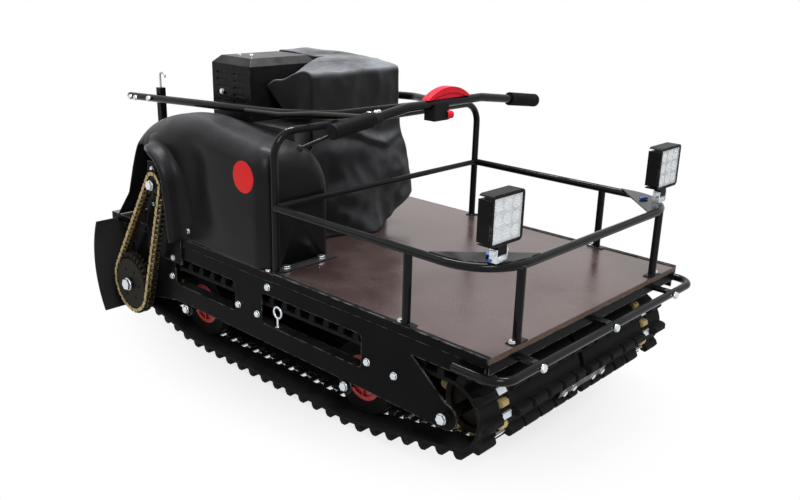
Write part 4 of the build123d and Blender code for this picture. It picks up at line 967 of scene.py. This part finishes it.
def apronReach(values, distance, y, height, below, hollow):  # it swells below the crease, in deepening folds
    x = aft(distance) + hoodFoot(values, y)[0] * below ** 0.75
    fold = math.sin(y * 30 + 2.2 * math.sin(height * 7) + 1.3) * 0.5 + math.sin(y * 55 - height * 9) * 0.3
    fold += 0.9 * noise.noise((y * 8, height * 6, 1.7)) + 0.4 * noise.noise((y * 21, height * 17, 3.1))
    x += (0.0020 + 0.010 * below) * fold * (0.3 + 0.7 * hollow) + crumple(y, height) * (0.5 + 0.9 * below)
    ridge = (height - values["crease"] + 0.028 - 0.40 * abs(y - 0.13)) / 0.011
    return x + 0.010 * math.exp(-ridge ** 2) * (0.35 + hollow)


def hoodMesh(values):
    stations, marks = [], []
    for (a1, h1), (a2, h2) in zip(values["section"], values["section"][1:]):
        marks.append(len(stations))
        count = max(1, round(math.hypot(a2 - a1, h2 - h1) / values["step"]))
        stations += [(a1 + (a2 - a1) * k / count, h1 + (h2 - h1) * k / count) for k in range(count)]
    stations.append(values["section"][-1])
    narrowEnd, corner, last = marks[2], marks[values["topPoints"] - 1], values["columns"]
    firstColumn = round((values["narrowRight"] - values["right"]) / (values["left"] - values["right"]) * last)
    bm = bmesh.new()
    verts = []
    for r, (distance, height) in enumerate(stations):
        below = max(0.0, values["crease"] - height) / values["crease"]
        right = values["right"] + values["standIn"] * (1 - min(1.0, 4 * below))
        row = []
        for c in range(last + 1):
            if r < narrowEnd and c < firstColumn:
                row.append(None)
                continue
            share = c / last
            y = right + share * (values["left"] + 0.012 * min(1.0, 3 * below) - right)
            hollow = math.sin(math.pi * share)
            if r < corner:
                x, z = aft(distance), hoodTop(values, distance, y, height, hollow)
            else:
                x = apronReach(values, distance, y, height, below, hollow)
                z = height + hoodFoot(values, y)[1] * below
            row.append(bm.verts.new((x, y, deck["top"] + max(z, 0.003))))
        verts.append(row)
    for upper, lower in zip(verts, verts[1:]):
        for c in range(last):
            quad = (upper[c], upper[c + 1], lower[c + 1], lower[c])
            if None not in quad:
                bm.faces.new(quad)

    def hang(line, way, edge=None):  # a skirt that hangs from a line of the top and joins the apron's edge
        before, rows = line, values["skirtRows"]
        slant = values["slant"] if edge and way.y < 0 else 0.0  # the right skirt's hem runs forward
        for j in range(1, rows + 1):
            drop = values["skirt"] * j / rows
            now = []
            for i, vert in enumerate(line):
                if edge and i == len(line) - 1:
                    now.append(edge[j])
                    continue
                ripple = noise.noise((vert.co.x * 11, drop * 6, way.y * 3))
                sway = 0.012 * ripple * j / rows - 0.006 * j / rows
                behind = 1 - i / max(1, len(line) - 1)
                shift = Vector((slant * behind * drop, 0, 0.35 * behind * drop - drop))
                now.append(bm.verts.new(vert.co + way * sway + shift))
            for i in range(len(line) - 1):
                bm.faces.new((before[i], before[i + 1], now[i + 1], now[i]))
            before = now

    for column, start, way in ((last, 0, 1), (0, narrowEnd, -1)):
        edge = [verts[corner + j][column] for j in range(values["skirtRows"] + 1)]
        hang([verts[r][column] for r in range(start, corner + 1)], Vector((0, way, 0)), edge)
    hang([verts[r][firstColumn] for r in range(narrowEnd + 1)], Vector((0, -1, 0)))
    hang([verts[0][c] for c in range(firstColumn, last + 1)], Vector((-1, 0, 0)))
    return meshFrom(bm, "hoodCloth", 180.0)


hoodPiece = addPiece("hoodCloth", hoodMesh(hood), hoodCloth, replaced=("engine_cloth",))
subdivide = hoodPiece.modifiers.new("soften", "SUBSURF")
subdivide.levels = subdivide.render_levels = 1
addWall(hoodPiece, hood["thick"])

# lamps: nine dished reflectors with pale chips behind a ribbed cover glass
lampFace = {"rows": 3, "spacing": 0.0285, "dish": 0.0125, "chip": 0.0040, "back": 0.0012, "glass": 0.0014,
            "ribs": 24, "ridge": 0.0007, "cheek": (0.031, 0.0016, 0.086)}


def dishUnit(values, deep):
    bm = bmesh.new()
    half, dish, edge = values["spacing"] / 2, values["dish"], circle(32)
    levels = ((dish, deep), (dish - 0.0006, deep - 0.0008), (dish * 0.62, deep * 0.42),
              (values["chip"], values["back"] * 0.5))
    square = [(x / max(abs(x), abs(y)) * half, y / max(abs(x), abs(y)) * half) for x, y in edge]
    rings = [[(x, y, deep) for x, y in square]]
    rings += [[(radius * x, radius * y, level) for x, y in edge] for radius, level in levels]
    made = [[bm.verts.new(point) for point in ring] for ring in rings]
    bridge(bm, made)
    bm.faces.new(made[-1])
    mesh = meshFrom(bm, "dishUnit")
    if mesh.polygons[0].normal.z < 0:
        mesh.flip_normals()
    return mesh


def lampPlate(low, high, margin):  # plate behind the reflectors and the border round them
    middle, size, thick = (low + high) / 2, high - low, lampFace["back"]
    boxes = [((thick, size.y, size.z), at((low.x + thick / 2, middle.y, middle.z)), 0.0003)]
    size.x -= lampFace["glass"]
    middle.x -= lampFace["glass"] / 2
    inside = size.y - 2 * margin
    for side in (-1, 1):
        across = Vector((0, side * (size.y / 2 - margin / 2), 0))
        boxes.append(((size.x, margin, size.z), at(middle + across), 0.0004))
    for side in (-1, 1):
        across = Vector((0, 0, side * (size.z / 2 - margin / 2)))
        boxes.append(((size.x, inside, margin), at(middle + across), 0.0004))
    return boxMesh("lampPlate", *boxes)


def coverGlass(low, high, values):  # thin pane, ribbed across its front
    count, back = 2 * values["ribs"], high.x - values["glass"]
    drops, ridge = [-low.z - (high.z - low.z) * k / count for k in range(count + 1)], values["ridge"]
    front = [(high.x - ridge * (k % 2), drop) for k, drop in enumerate(drops)]
    outline = front + [(back, -high.z), (back, -low.z)]
    return raisedMesh("coverGlass", outline, high.y - low.y, placed((0, low.y, 0), (0, 1, 0)), 20.0)


def cheekMesh(low, high, values):  # plain side walls of a lamp's housing, over the ends of its fins
    spots = [at((high.x - 0.018, y, high.z - 0.052)) for y in (low.y - 0.0006, high.y + 0.0006)]
    return boxMesh("lampCheeks", *((values["cheek"], spot, 0.0005) for spot in spots))


chipProfile = [(0, 0.0012), (0.55, 0.0011), (0.85, 0.0007), (1, 0.0)]  # shares of the chip's radius, heights
chipMesh = turnedMesh("chipUnit", [(lampFace["chip"] * r, height) for r, height in chipProfile], steps=16)
for name in ("right", "left"):
    side, body, lens = name.title(), "lamp_" + name, ("lamp_lens_" + name,)
    cheeks = cheekMesh(*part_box("lamp_body_" + name), lampFace)
    addPiece("lampCheeks" + side, cheeks, lampAlloy, body)
    low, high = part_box(*lens)
    middle, spacing = (low + high) / 2, lampFace["spacing"]
    margin = (high.y - low.y - lampFace["rows"] * spacing) / 2
    points = [(low.x, middle.y + i * spacing, middle.z + j * spacing) for i in (-1, 0, 1) for j in (-1, 0, 1)]
    spots = [placed(point, (1, 0, 0), (0, 1, 0)) for point in points]
    addPiece("lampPlate" + side, lampPlate(low, high, margin), reflector, body, lens)
    dish = dishUnit(lampFace, high.x - low.x - lampFace["glass"])
    scatter("lampDishes" + side, dish, spots, reflector, body)
    chips = [at((0.0008, 0, 0)) @ spot for spot in spots]
    scatter("lampChips" + side, chipMesh, chips, lampChip, body)
    addPiece("coverGlass" + side, coverGlass(low, high, lampFace), lensGlass, body, lens)
print("lamps")

# lamp brackets: pivot bolts, and the blue wire joints on the plate behind them
lampFit = {"pivot": (aft(0.039), 0.523), "middle": 0.335, "half": 0.0181,
           "joint": (aft(0.062), 0.5025 + 0.0036), "apart": 0.012}
pivotX, pivotZ = lampFit["pivot"]
pivotBolts = []
for side in (-1, 1):
    for end in (-1, 1):
        point = (pivotX, side * lampFit["middle"] + end * lampFit["half"], pivotZ)
        pivotBolts.append(placed(point, (0, end, 0), size=0.78))
scatter("lampPivotBolts", boltMesh, pivotBolts, zincPlate)
jointHalf = [(0.0034, 0.008), (0.0026, 0.011), (0, 0.011)]
jointMesh = turnedMesh("jointUnit", [*((r, -h) for r, h in jointHalf[::-1]), *jointHalf], steps=14)
jointX, jointZ = lampFit["joint"]
joints = []
for side in (-1, 1):
    for shift in (-lampFit["apart"], lampFit["apart"]):
        point = (jointX + shift, side * (lampFit["middle"] + shift), jointZ)
        joints.append(placed(point, (0.5, side * 0.8, 0), (0, 0, 1)))
scatter("wireJoints", jointMesh, joints, connectorBlue)

# handlebar: ribs on the grips, end rings, clamp bolts, switch button
grip = {"half": 0.383, "fall": 0.030, "straight": 0.140, "bar": (aft(0.465), 0.730), "radius": 0.0165,
        "ribs": 17, "firstRib": 0.012, "ribSpan": 0.096, "collars": (0.0032, 0.1168), "perch": 0.135}
gripDrop = Vector((0, grip["half"] - grip["straight"], -grip["fall"])).normalized()
barX, barZ = grip["bar"]


def ribRing(radius, width, height):
    half, foot, shoulder = width / 2, radius - 0.0008, radius + height * 0.7
    profile = [(foot, -half), (shoulder, -half), (radius + height, 0), (shoulder, half), (foot, half)]
    return turnedMesh("ribRing", profile, steps=36, angle=60.0)


ribPlaces, collarPlaces, plugPlaces = [], [], []
for side in (-1, 1):
    outer = Vector((barX, side * grip["half"], barZ - grip["fall"]))
    inward = Vector((0, -side * gripDrop.y, -gripDrop.z))
    steps = [grip["firstRib"] + grip["ribSpan"] * k / (grip["ribs"] - 1) for k in range(grip["ribs"])]
    ribPlaces += [placed(outer + inward * step, inward) for step in steps]
    collarPlaces += [placed(outer + inward * step, inward) for step in grip["collars"]]
    plugPlaces.append(placed(outer - inward * 0.0004, -inward))
plugProfile = [(0.0062, -0.0002), (0.0068, 0.0007), (0.0125, 0.0012), (0.0150, 0.0002)]
plugMesh = turnedMesh("endPlug", plugProfile, steps=28)
ringMesh, collarMesh = ribRing(grip["radius"], 0.0034, 0.0011), ribRing(grip["radius"], 0.0064, 0.0014)
gripRows = (("Ribs", ringMesh, ribPlaces), ("Collars", collarMesh, collarPlaces),
            ("Ends", plugMesh, plugPlaces))
for name, mesh, places in gripRows:
    scatter("grip" + name, mesh, places, gripRubber, "tiller")
perch = Vector((barX, -grip["half"], barZ - grip["fall"]))
perch += Vector((0, gripDrop.y, -gripDrop.z)) * grip["perch"]
clampBolts = [placed(perch + Vector((0.006, y, 0.0150)), (0.3, 0, 1), size=0.5) for y in (-0.005, 0.005)]
clampBolts.append(placed(perch + Vector((-0.020, 0, 0.0080)), size=0.6))
scatter("perchBolts", boltMesh, clampBolts, zincPlate, "tiller")
button = {"radius": 0.0095, "height": 0.017, "way": (0.45, 0.9, 0)}


def buttonMesh(values, point):
    radius, height = values["radius"], values["height"]
    profile = [(1.25, -0.0004 / height), (1.25, 0.35), (1, 0.35), (1, 0.8), (0.8, 1), (0, 1)]
    profile = [(radius * r, height * h) for r, h in profile]
    return turnedMesh("button", profile, placed(point, values["way"]), 24)


switchLow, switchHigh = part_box("switch_box")
buttonPoint = (barX + 0.012, switchHigh.y - 0.002, (switchLow.z + switchHigh.z) / 2 - 0.008)
addPiece("stopButton", buttonMesh(button, buttonPoint), guardRed, "tiller")
web = {"half": 0.066, "low": 0.0105, "rise": 0.0145, "thick": 0.013}  # between the guard's loop and the bar
webAngles = [math.pi * k / 16 for k in range(17)]
webArc = [(web["half"] * math.cos(a), web["low"] + web["rise"] * math.sin(a)) for a in webAngles]
webPlace = placed((barX - web["thick"] / 2, 0, barZ), (1, 0, 0), (0, 1, 0))
addPiece("guardWeb", raisedMesh("guardWeb", webArc, web["thick"], webPlace), guardRed, "tiller")
tailBolts = [placed((aft(d), -0.2568, z), right, size=0.8) for d, z in ((1.515, 0.6425), (1.485, 0.6435))]
scatter("tailBolts", boltMesh, tailBolts, zincPlate, "tiller")
scatter("pivotNut", boltMesh, [placed((aft(1.400), -0.2628, 0.651), right, size=0.85)], zincPlate)
print("handlebar")

# moulded side cover: a skin of rounded sections, a shallow valley beside the arch, the arch's rolled lip
cover = {
    "front": 0.678, "outer": -0.404, "inner": -0.192, "wall": 0.0035, "topCorner": 0.060, "sideCorner": 0.045,
    "innerCorner": 0.025, "step": 0.0062, "tail": (1.369, 1.372, 1.375), "stand": 0.0003, "hub": 0.12,
    "crown": ((0.678, 0.298), (0.75, 0.303), (0.85, 0.314), (0.95, 0.325), (1.03, 0.331), (1.10, 0.327),
              (1.16, 0.316), (1.21, 0.302), (1.245, 0.286), (1.275, 0.258), (1.30, 0.210),
              (1.322, 0.155), (1.346, 0.092), (1.364, 0.040), (1.375, 0.002)),
    "rolls": ((0.678, 0.050), (0.95, 0.060), (1.10, 0.075), (1.20, 0.095), (1.40, 0.095)), "innerRoll": 0.100,
    "valley": (0.978, 0.052, 0.013), "valleyInner": -0.30, "rearRow": 41, "archGrow": 0.012,
    "archFoot": (1.040, 0.0), "archSpring": (1.059, 0.160), "archCrown": (1.115, 0.228),
    "archRear": (1.170, 0.224), "ebbSteps": 9, "ebb": 0.60,
    "lip": ((-0.001, -0.030), (-0.001, 0.041), (0.001, 0.0445), (0.005, 0.046), (0.0105, 0.045),
            (0.0145, 0.041), (0.017, 0.030), (0.0185, 0.015), (0.021, 0.005), (0.0255, -0.001),
            (0.033, -0.006), (0.044, -0.014)),
    "window": (0.830, 1.295, 0.190), "cutSpan": (1.15, 1.24), "cutSide": -0.36, "cutRise": 0.010,
    "cutReach": 0.012,
}


def between(table, place):  # smooth value of a table at a place
    k = next((k for k, (b, _) in enumerate(table[1:]) if place <= b), len(table) - 2)
    (a, low), (b, high) = table[k:k + 2]
    before = table[k - 1] if k else (2 * a - b, 2 * low - high)
    after = table[k + 2] if k + 2 < len(table) else (2 * b - a, 2 * high - low)
    t = clamped((place - a) / (b - a))
    first = (high - before[1]) / (b - before[0]) * (b - a)
    second = (after[1] - low) / (after[0] - a) * (b - a)
    ends = (2 * t**3 - 3 * t**2 + 1) * low + (t**3 - 2 * t**2 + t) * first
    return ends + (3 * t**2 - 2 * t**3) * high + (t**3 - t**2) * second


def archPath(values):  # points of the opening's edge from the front foot over the crown
    foot, spring, crown, rear = (Vector(values["arch" + key]) for key in ("Foot", "Spring", "Crown", "Rear"))
    points = [foot.lerp(spring, k / 12) for k in range(12)]
    way = (spring - foot).normalized()
    square = Vector((way.y, -way.x))
    radius = (crown - spring).length_squared / (2 * (crown - spring).dot(square))
    centre = spring + square * radius
    start = math.atan2(spring.y - centre.y, spring.x - centre.x)
    angles = [start + (math.pi / 2 - start) * k / 18 for k in range(19)]
    points += [centre + radius * Vector((math.cos(a), math.sin(a))) for a in angles]
    top = points[-1]
    shares = [k / 5 for k in range(1, 6)]
    return points + [Vector((top.x + (rear.x - top.x) * s, top.y + (rear.y - top.y) * s**2)) for s in shares]


def inArch(path, point, grow):  # whether a side point lies in the opening grown by a margin
    for a, b in zip(path, path[1:]):
        along = b - a
        share = clamped((point - a).dot(along) / along.length_squared)
        if (point - a - along * share).length < grow:
            return True
    if point.x >= path[-1].x:
        return point.y < path[-1].y + grow
    top = path[30].y  # end of the crown's arc
    for a, b in zip(path, path[1:]):
        if min(a.y, b.y) <= point.y <= max(a.y, b.y) and b.x > a.x and point.y < top:
            share = (point.y - a.y) / (b.y - a.y) if b.y != a.y else 0.0
            return point.x > a.x + (b.x - a.x) * share
    return False


def cornerInset(radius, ahead):  # how far a rounded corner stands back near the front
    return radius - math.sqrt(radius**2 - (radius - ahead) ** 2) if ahead < radius else 0.0


def coverSection(values, d):  # points across a station, from the outer foot over the top to the inner
    ahead = d - values["front"]
    top = between(values["crown"], d) - cornerInset(values["topCorner"], ahead)
    outer = values["outer"] + cornerInset(values["sideCorner"], ahead)
    inner = values["inner"] - cornerInset(values["innerCorner"], ahead)
    roll = min(between(values["rolls"], d), 0.9 * top)
    far = min(values["innerRoll"], 0.9 * top, inner - outer - roll - 0.004)
    quarter = [math.pi / 2 * k / 12 for k in range(12)]
    points = [(outer, (top - roll) * k / 36) for k in range(36)]
    points += [(outer + roll * (1 - math.cos(a)), top - roll + roll * math.sin(a)) for a in quarter]
    points += [(outer + roll + (inner - far - outer - roll) * k / 6, top) for k in range(6)]
    points += [(inner - far + far * math.sin(a), top - far + far * math.cos(a)) for a in quarter]
    points += [(inner, (top - far) * (1 - k / 12)) for k in range(13)]
    return [(y + valleyDepth(values, d, y, z), z) for y, z in points]


def valleyDepth(values, d, y, z):  # how far the outer side is pressed in, in front of the arch
    middle, width, depth = values["valley"]
    if y >= values["valleyInner"]:
        return 0.0
    if d <= middle:
        width += 0.30 * max(0.0, 0.16 - z)
    fall = math.exp(-(((d - middle) / width) ** 2))
    inside = min(1.0, (values["valleyInner"] - y) / 0.05)
    return depth * fall * clamped((0.30 - z) / 0.08) * inside * min(1.0, 0.25 + z / 0.09)


def coverLip(bm, values, path):  # rolled lip along the arch, lower towards its rear end
    body = set(bm.faces)
    rings = []
    for k, point in enumerate(path):
        way = (path[min(k + 1, len(path) - 1)] - path[max(k - 1, 0)]).normalized()
        out = Vector((-way.y, way.x))
        ebb = 1.0 - values["ebb"] * max(0.0, (k - len(path) + 1 + values["ebbSteps"]) / values["ebbSteps"])
        ring = []
        for n, o in values["lip"]:
            height = values["stand"] + max(0.0, point.y + out.y * n)
            y = values["outer"] - (o * ebb if o > 0 else o)
            ring.append(bm.verts.new((aft(point.x + out.x * n), y, deck["top"] + height)))
        rings.append(ring)
    for before, after in zip(rings, rings[1:]):
        for k in range(len(before) - 1):
            bm.faces.new((before[k], after[k], after[k + 1], before[k + 1]))
    bm.faces.new(rings[-1])
    lip = [face for face in bm.faces if face not in body]
    bm.normal_update()
    if sum(face.normal.y * face.calc_area() for face in lip) > 0:
        bmesh.ops.reverse_faces(bm, faces=lip)


def coverMesh(values):
    bm = bmesh.new()
    corner, step = values["topCorner"], values["step"]
    start, (front, rear, top) = values["front"] + corner, values["window"]
    places = [values["front"] + corner * (1 - math.cos(math.pi / 2 * k / 9)) for k in range(9)]
    places += [start + step * k for k in range(100) if start + step * k < values["tail"][0] - 0.003]
    rows = []
    for d in (*places, *values["tail"]):
        points = coverSection(values, d)
        rows.append([bm.verts.new((aft(d), y, deck["top"] + values["stand"] + z)) for y, z in points])
    outerFaces = set()
    for before, after in zip(rows, rows[1:]):
        for k in range(len(before) - 1):
            face = bm.faces.new((before[k], before[k + 1], after[k + 1], after[k]))
            if k < values["rearRow"]:
                outerFaces.add(face)
    middle = (values["outer"] + values["inner"]) / 2
    hub = bm.verts.new((aft(values["front"]), middle, deck["top"] + values["hub"]))
    for a, b in zip(rows[0], rows[0][1:] + rows[0][:1]):
        bm.faces.new((a, b, hub))
    path = archPath(values)
    gone = []
    for face in bm.faces:
        middle = face.calc_center_median()
        side = Vector((deck["front"] - middle.x, middle.z - deck["top"]))
        opening = face in outerFaces and side.x > 1.0 and inArch(path, side, values["archGrow"])
        if opening or middle.y > values["inner"] - 0.012 and side.y < top and front < side.x < rear:
            gone.append(face)
    bmesh.ops.delete(bm, geom=gone, context="FACES")
    edge = deck["top"] + path[-1].y + values["cutRise"]  # the cut behind the arch is drawn level
    cutFront, cutRear = (aft(d) for d in values["cutSpan"])
    for vert in bm.verts:
        behind = vert.is_boundary and vert.co.y < values["cutSide"] and cutRear < vert.co.x < cutFront
        if behind and abs(vert.co.z - edge) < values["cutReach"]:
            vert.co.z = edge
    bmesh.ops.recalc_face_normals(bm, faces=bm.faces[:])
    if sum(face.normal.z * face.calc_area() for face in bm.faces) < 0:
        bmesh.ops.reverse_faces(bm, faces=bm.faces[:])
    coverLip(bm, values, path)
    return smoothed(rawMesh(bm, "sideCover"), 55.0)


coverPiece = addPiece("sideCover", coverMesh(cover), coverPlastic, replaced=("side_cover",))
addWall(coverPiece, cover["wall"])
print("side cover:", len(coverPiece.data.polygons), "faces")

# bare red disc on the cover
disc = {"point": (aft(0.759), -0.4040, deck["top"] + 0.225), "radius": 0.040}
discProfile = [(disc["radius"] * r, h) for r, h in ((0, 0.0007), (0.94, 0.0007), (1, 0.0003), (1, -0.0004))]
discMesh = turnedMesh("coverDisc", discProfile, placed(disc["point"], right), 64)
addPiece("coverDisc", discMesh, stickerRed)

# deck edges: raw ply in front, painted angles along the sides
edging = {"leg": 0.022, "wall": 0.0022, "ledge": 0.011, "rear": 0.655, "bevel": 0.0006}


def edgeMesh(values):
    wall, leg, length, bevel = (values[key] for key in ("wall", "leg", "rear", "bevel"))
    rest, top = deck["length"] - length, deck["top"]
    boxes = []
    for side in (-1, 1):
        face, ledge = side * deck["side"] + side * wall / 2, side * deck["side"] - side * values["ledge"] / 2
        boxes.append(((length, wall, leg), at((aft(length / 2), face, top - leg / 2 + wall)), bevel))
        boxes.append(((rest, wall, leg), at((aft(length + rest / 2), face, top - leg / 2)), bevel))
        boxes.append(((length, values["ledge"], wall), at((aft(length / 2), ledge, top + wall / 2)), bevel))
    return boxMesh("deckAngles", *boxes)


plySize = (0.0008, 2 * deck["side"] - 0.002, deck["ply"] - 0.001)
plyMesh = boxMesh("plyFace", (plySize, at((aft(-0.0002), 0, deck["top"] - deck["ply"] / 2)), 0.0003))
addPiece("deckAngles", edgeMesh(edging), framePaint)
addPiece("plyFrontEdge", plyMesh, plyEdge)
print("deck edges")

# plate behind the chain, moulded foot flange in front of the cover, and the lashing eye on the lower rail
bearing = {"outline": ((1.047, 0.250), (1.047, 0.340), (1.090, 0.520), (1.188, 0.520), (1.212, 0.340),
                       (1.212, 0.250)), "face": -0.4022, "thick": 0.004}
flange = {"front": 0.646, "rear": 0.6785, "low": -0.371, "high": -0.198, "thick": 0.0034, "sunk": 0.0002}
eye = {"point": (aft(0.656), -0.388, 0.2215), "ring": 0.0145, "wire": 0.0032, "stem": 0.0038,
       "seat": 0.183, "foot": 0.0085}


def flangeMesh(values):
    front, rear, low, high, thick = (values[key] for key in ("front", "rear", "low", "high", "thick"))
    place = at((aft((front + rear) / 2), (low + high) / 2, deck["top"] + thick / 2 - values["sunk"]))
    return boxMesh("coverFlange", ((rear - front, high - low, thick), place, 0.0012, 2))


def eyeMesh(values):
    bm = bmesh.new()
    section = circle(12)
    ring = [(values["ring"] + values["wire"] * u, values["wire"] * v) for u, v in section + section[:1]]
    lathe(bm, ring, placed(values["point"], (0, 1, 0)), 40)
    x, y, z = values["point"]
    foot, stem, top = values["foot"], values["stem"], z - values["ring"] - values["seat"]
    post = [(0, -0.0004), (foot, -0.0004), (foot, 0.0022), (stem, 0.0026), (stem, top), (0, top + 0.001)]
    lathe(bm, post, at((x, y, values["seat"])), 20)
    bmesh.ops.remove_doubles(bm, verts=bm.verts[:], dist=1e-6)
    return meshFrom(bm, "lashingEye")


bearingOutline = [(aft(d), z) for d, z in bearing["outline"]]
bearingPlace = placed((0, bearing["face"], 0), right)
bearingMesh = raisedMesh("bearingPlate", bearingOutline, bearing["thick"], bearingPlace)
addPiece("bearingPlate", bearingMesh, framePaint)
addPiece("coverFlange", flangeMesh(flange), coverPlastic)
addPiece("lashingEye", eyeMesh(eye), zincPlate)

# stage
studio = {
    "floor": (0.70, 0.70, 0.70), "floorSize": 14.0, "world": 0.17, "near": 0.30, "far": 0.64, "least": 0.72,
    "squeeze": (0.62, 1.0, 1.0), "target": (0.0, 0.0, 0.3),
    "lights": (("keyLight", (2.6, -1.6, 3.2), (1.3, 1.3), 80.0),
               ("fillLight", (-1.8, -3.0, 2.0), (1.6, 1.2), 9.0),
               ("topLight", (-0.4, 0.8, 3.4), (2.6, 0.45), 165.0)),
}


def areaLight(name, place, size, power, target):
    data = bpy.data.lights.new(name, "AREA")
    data.shape = "RECTANGLE"
    data.size, data.size_y = size
    data.energy = power
    light = linked(name, data)
    light.location = place
    light.rotation_euler = (Vector(target) - Vector(place)).to_track_quat("-Z", "Y").to_euler()


def seenRays(tree):  # 1 for camera, mirror and see-through rays: metal and glass show the white ground
    path = shade(tree, "ShaderNodeLightPath")
    both = calc(tree, "ADD", path["Is Camera Ray"], path["Is Glossy Ray"])
    return calc(tree, "ADD", both, path["Is Transmission Ray"], set_use_clamp=True)


def setStage(values):
    world = bpy.data.worlds.new("studioSky")
    bpy.context.scene.world = world
    world.use_nodes = True
    tree = world.node_tree
    ground = tree.nodes["Background"].inputs
    ground["Color"].default_value = (1, 1, 1, 1)
    tree.links.new(mapRange(tree, seenRays(tree), 0.0, 1.0, To_Min=values["world"]), ground["Strength"])
    bm = bmesh.new()
    bmesh.ops.create_grid(bm, x_segments=1, y_segments=1, size=values["floorSize"])
    floor = linked("floor", meshFrom(bm, "floor"))
    darker = tuple(0.98 * c for c in values["floor"])
    paper = makeFinish("floorPaper", values["floor"], darker, 0.9, patch=2.0, grain=60.0, rounding=0,
                       specular=0.0)
    floor.data.materials.append(paper)
    tree = paper.node_tree
    place = shade(tree, "ShaderNodeMapping", Vector=ownPlace(tree), Scale=values["squeeze"])["Vector"]
    away = shade(tree, "ShaderNodeVectorMath", place, set_operation="LENGTH")["Value"]
    fade = mapRange(tree, away, values["near"], values["far"], To_Min=values["least"],
                    set_interpolation_type="SMOOTHSTEP")
    glow = shade(tree, "ShaderNodeEmission", Color=(1, 1, 1, 1), Strength=1.0)["Emission"]
    matte = tree.nodes["Principled BSDF"].outputs["BSDF"]
    share = calc(tree, "MULTIPLY", fade, seenRays(tree))
    blend = shade(tree, "ShaderNodeMixShader", share, matte, glow)["Shader"]
    tree.links.new(blend, tree.nodes["Material Output"].inputs["Surface"])
    for light in values["lights"]:
        areaLight(*light, values["target"])


setStage(studio)
print("stage set")
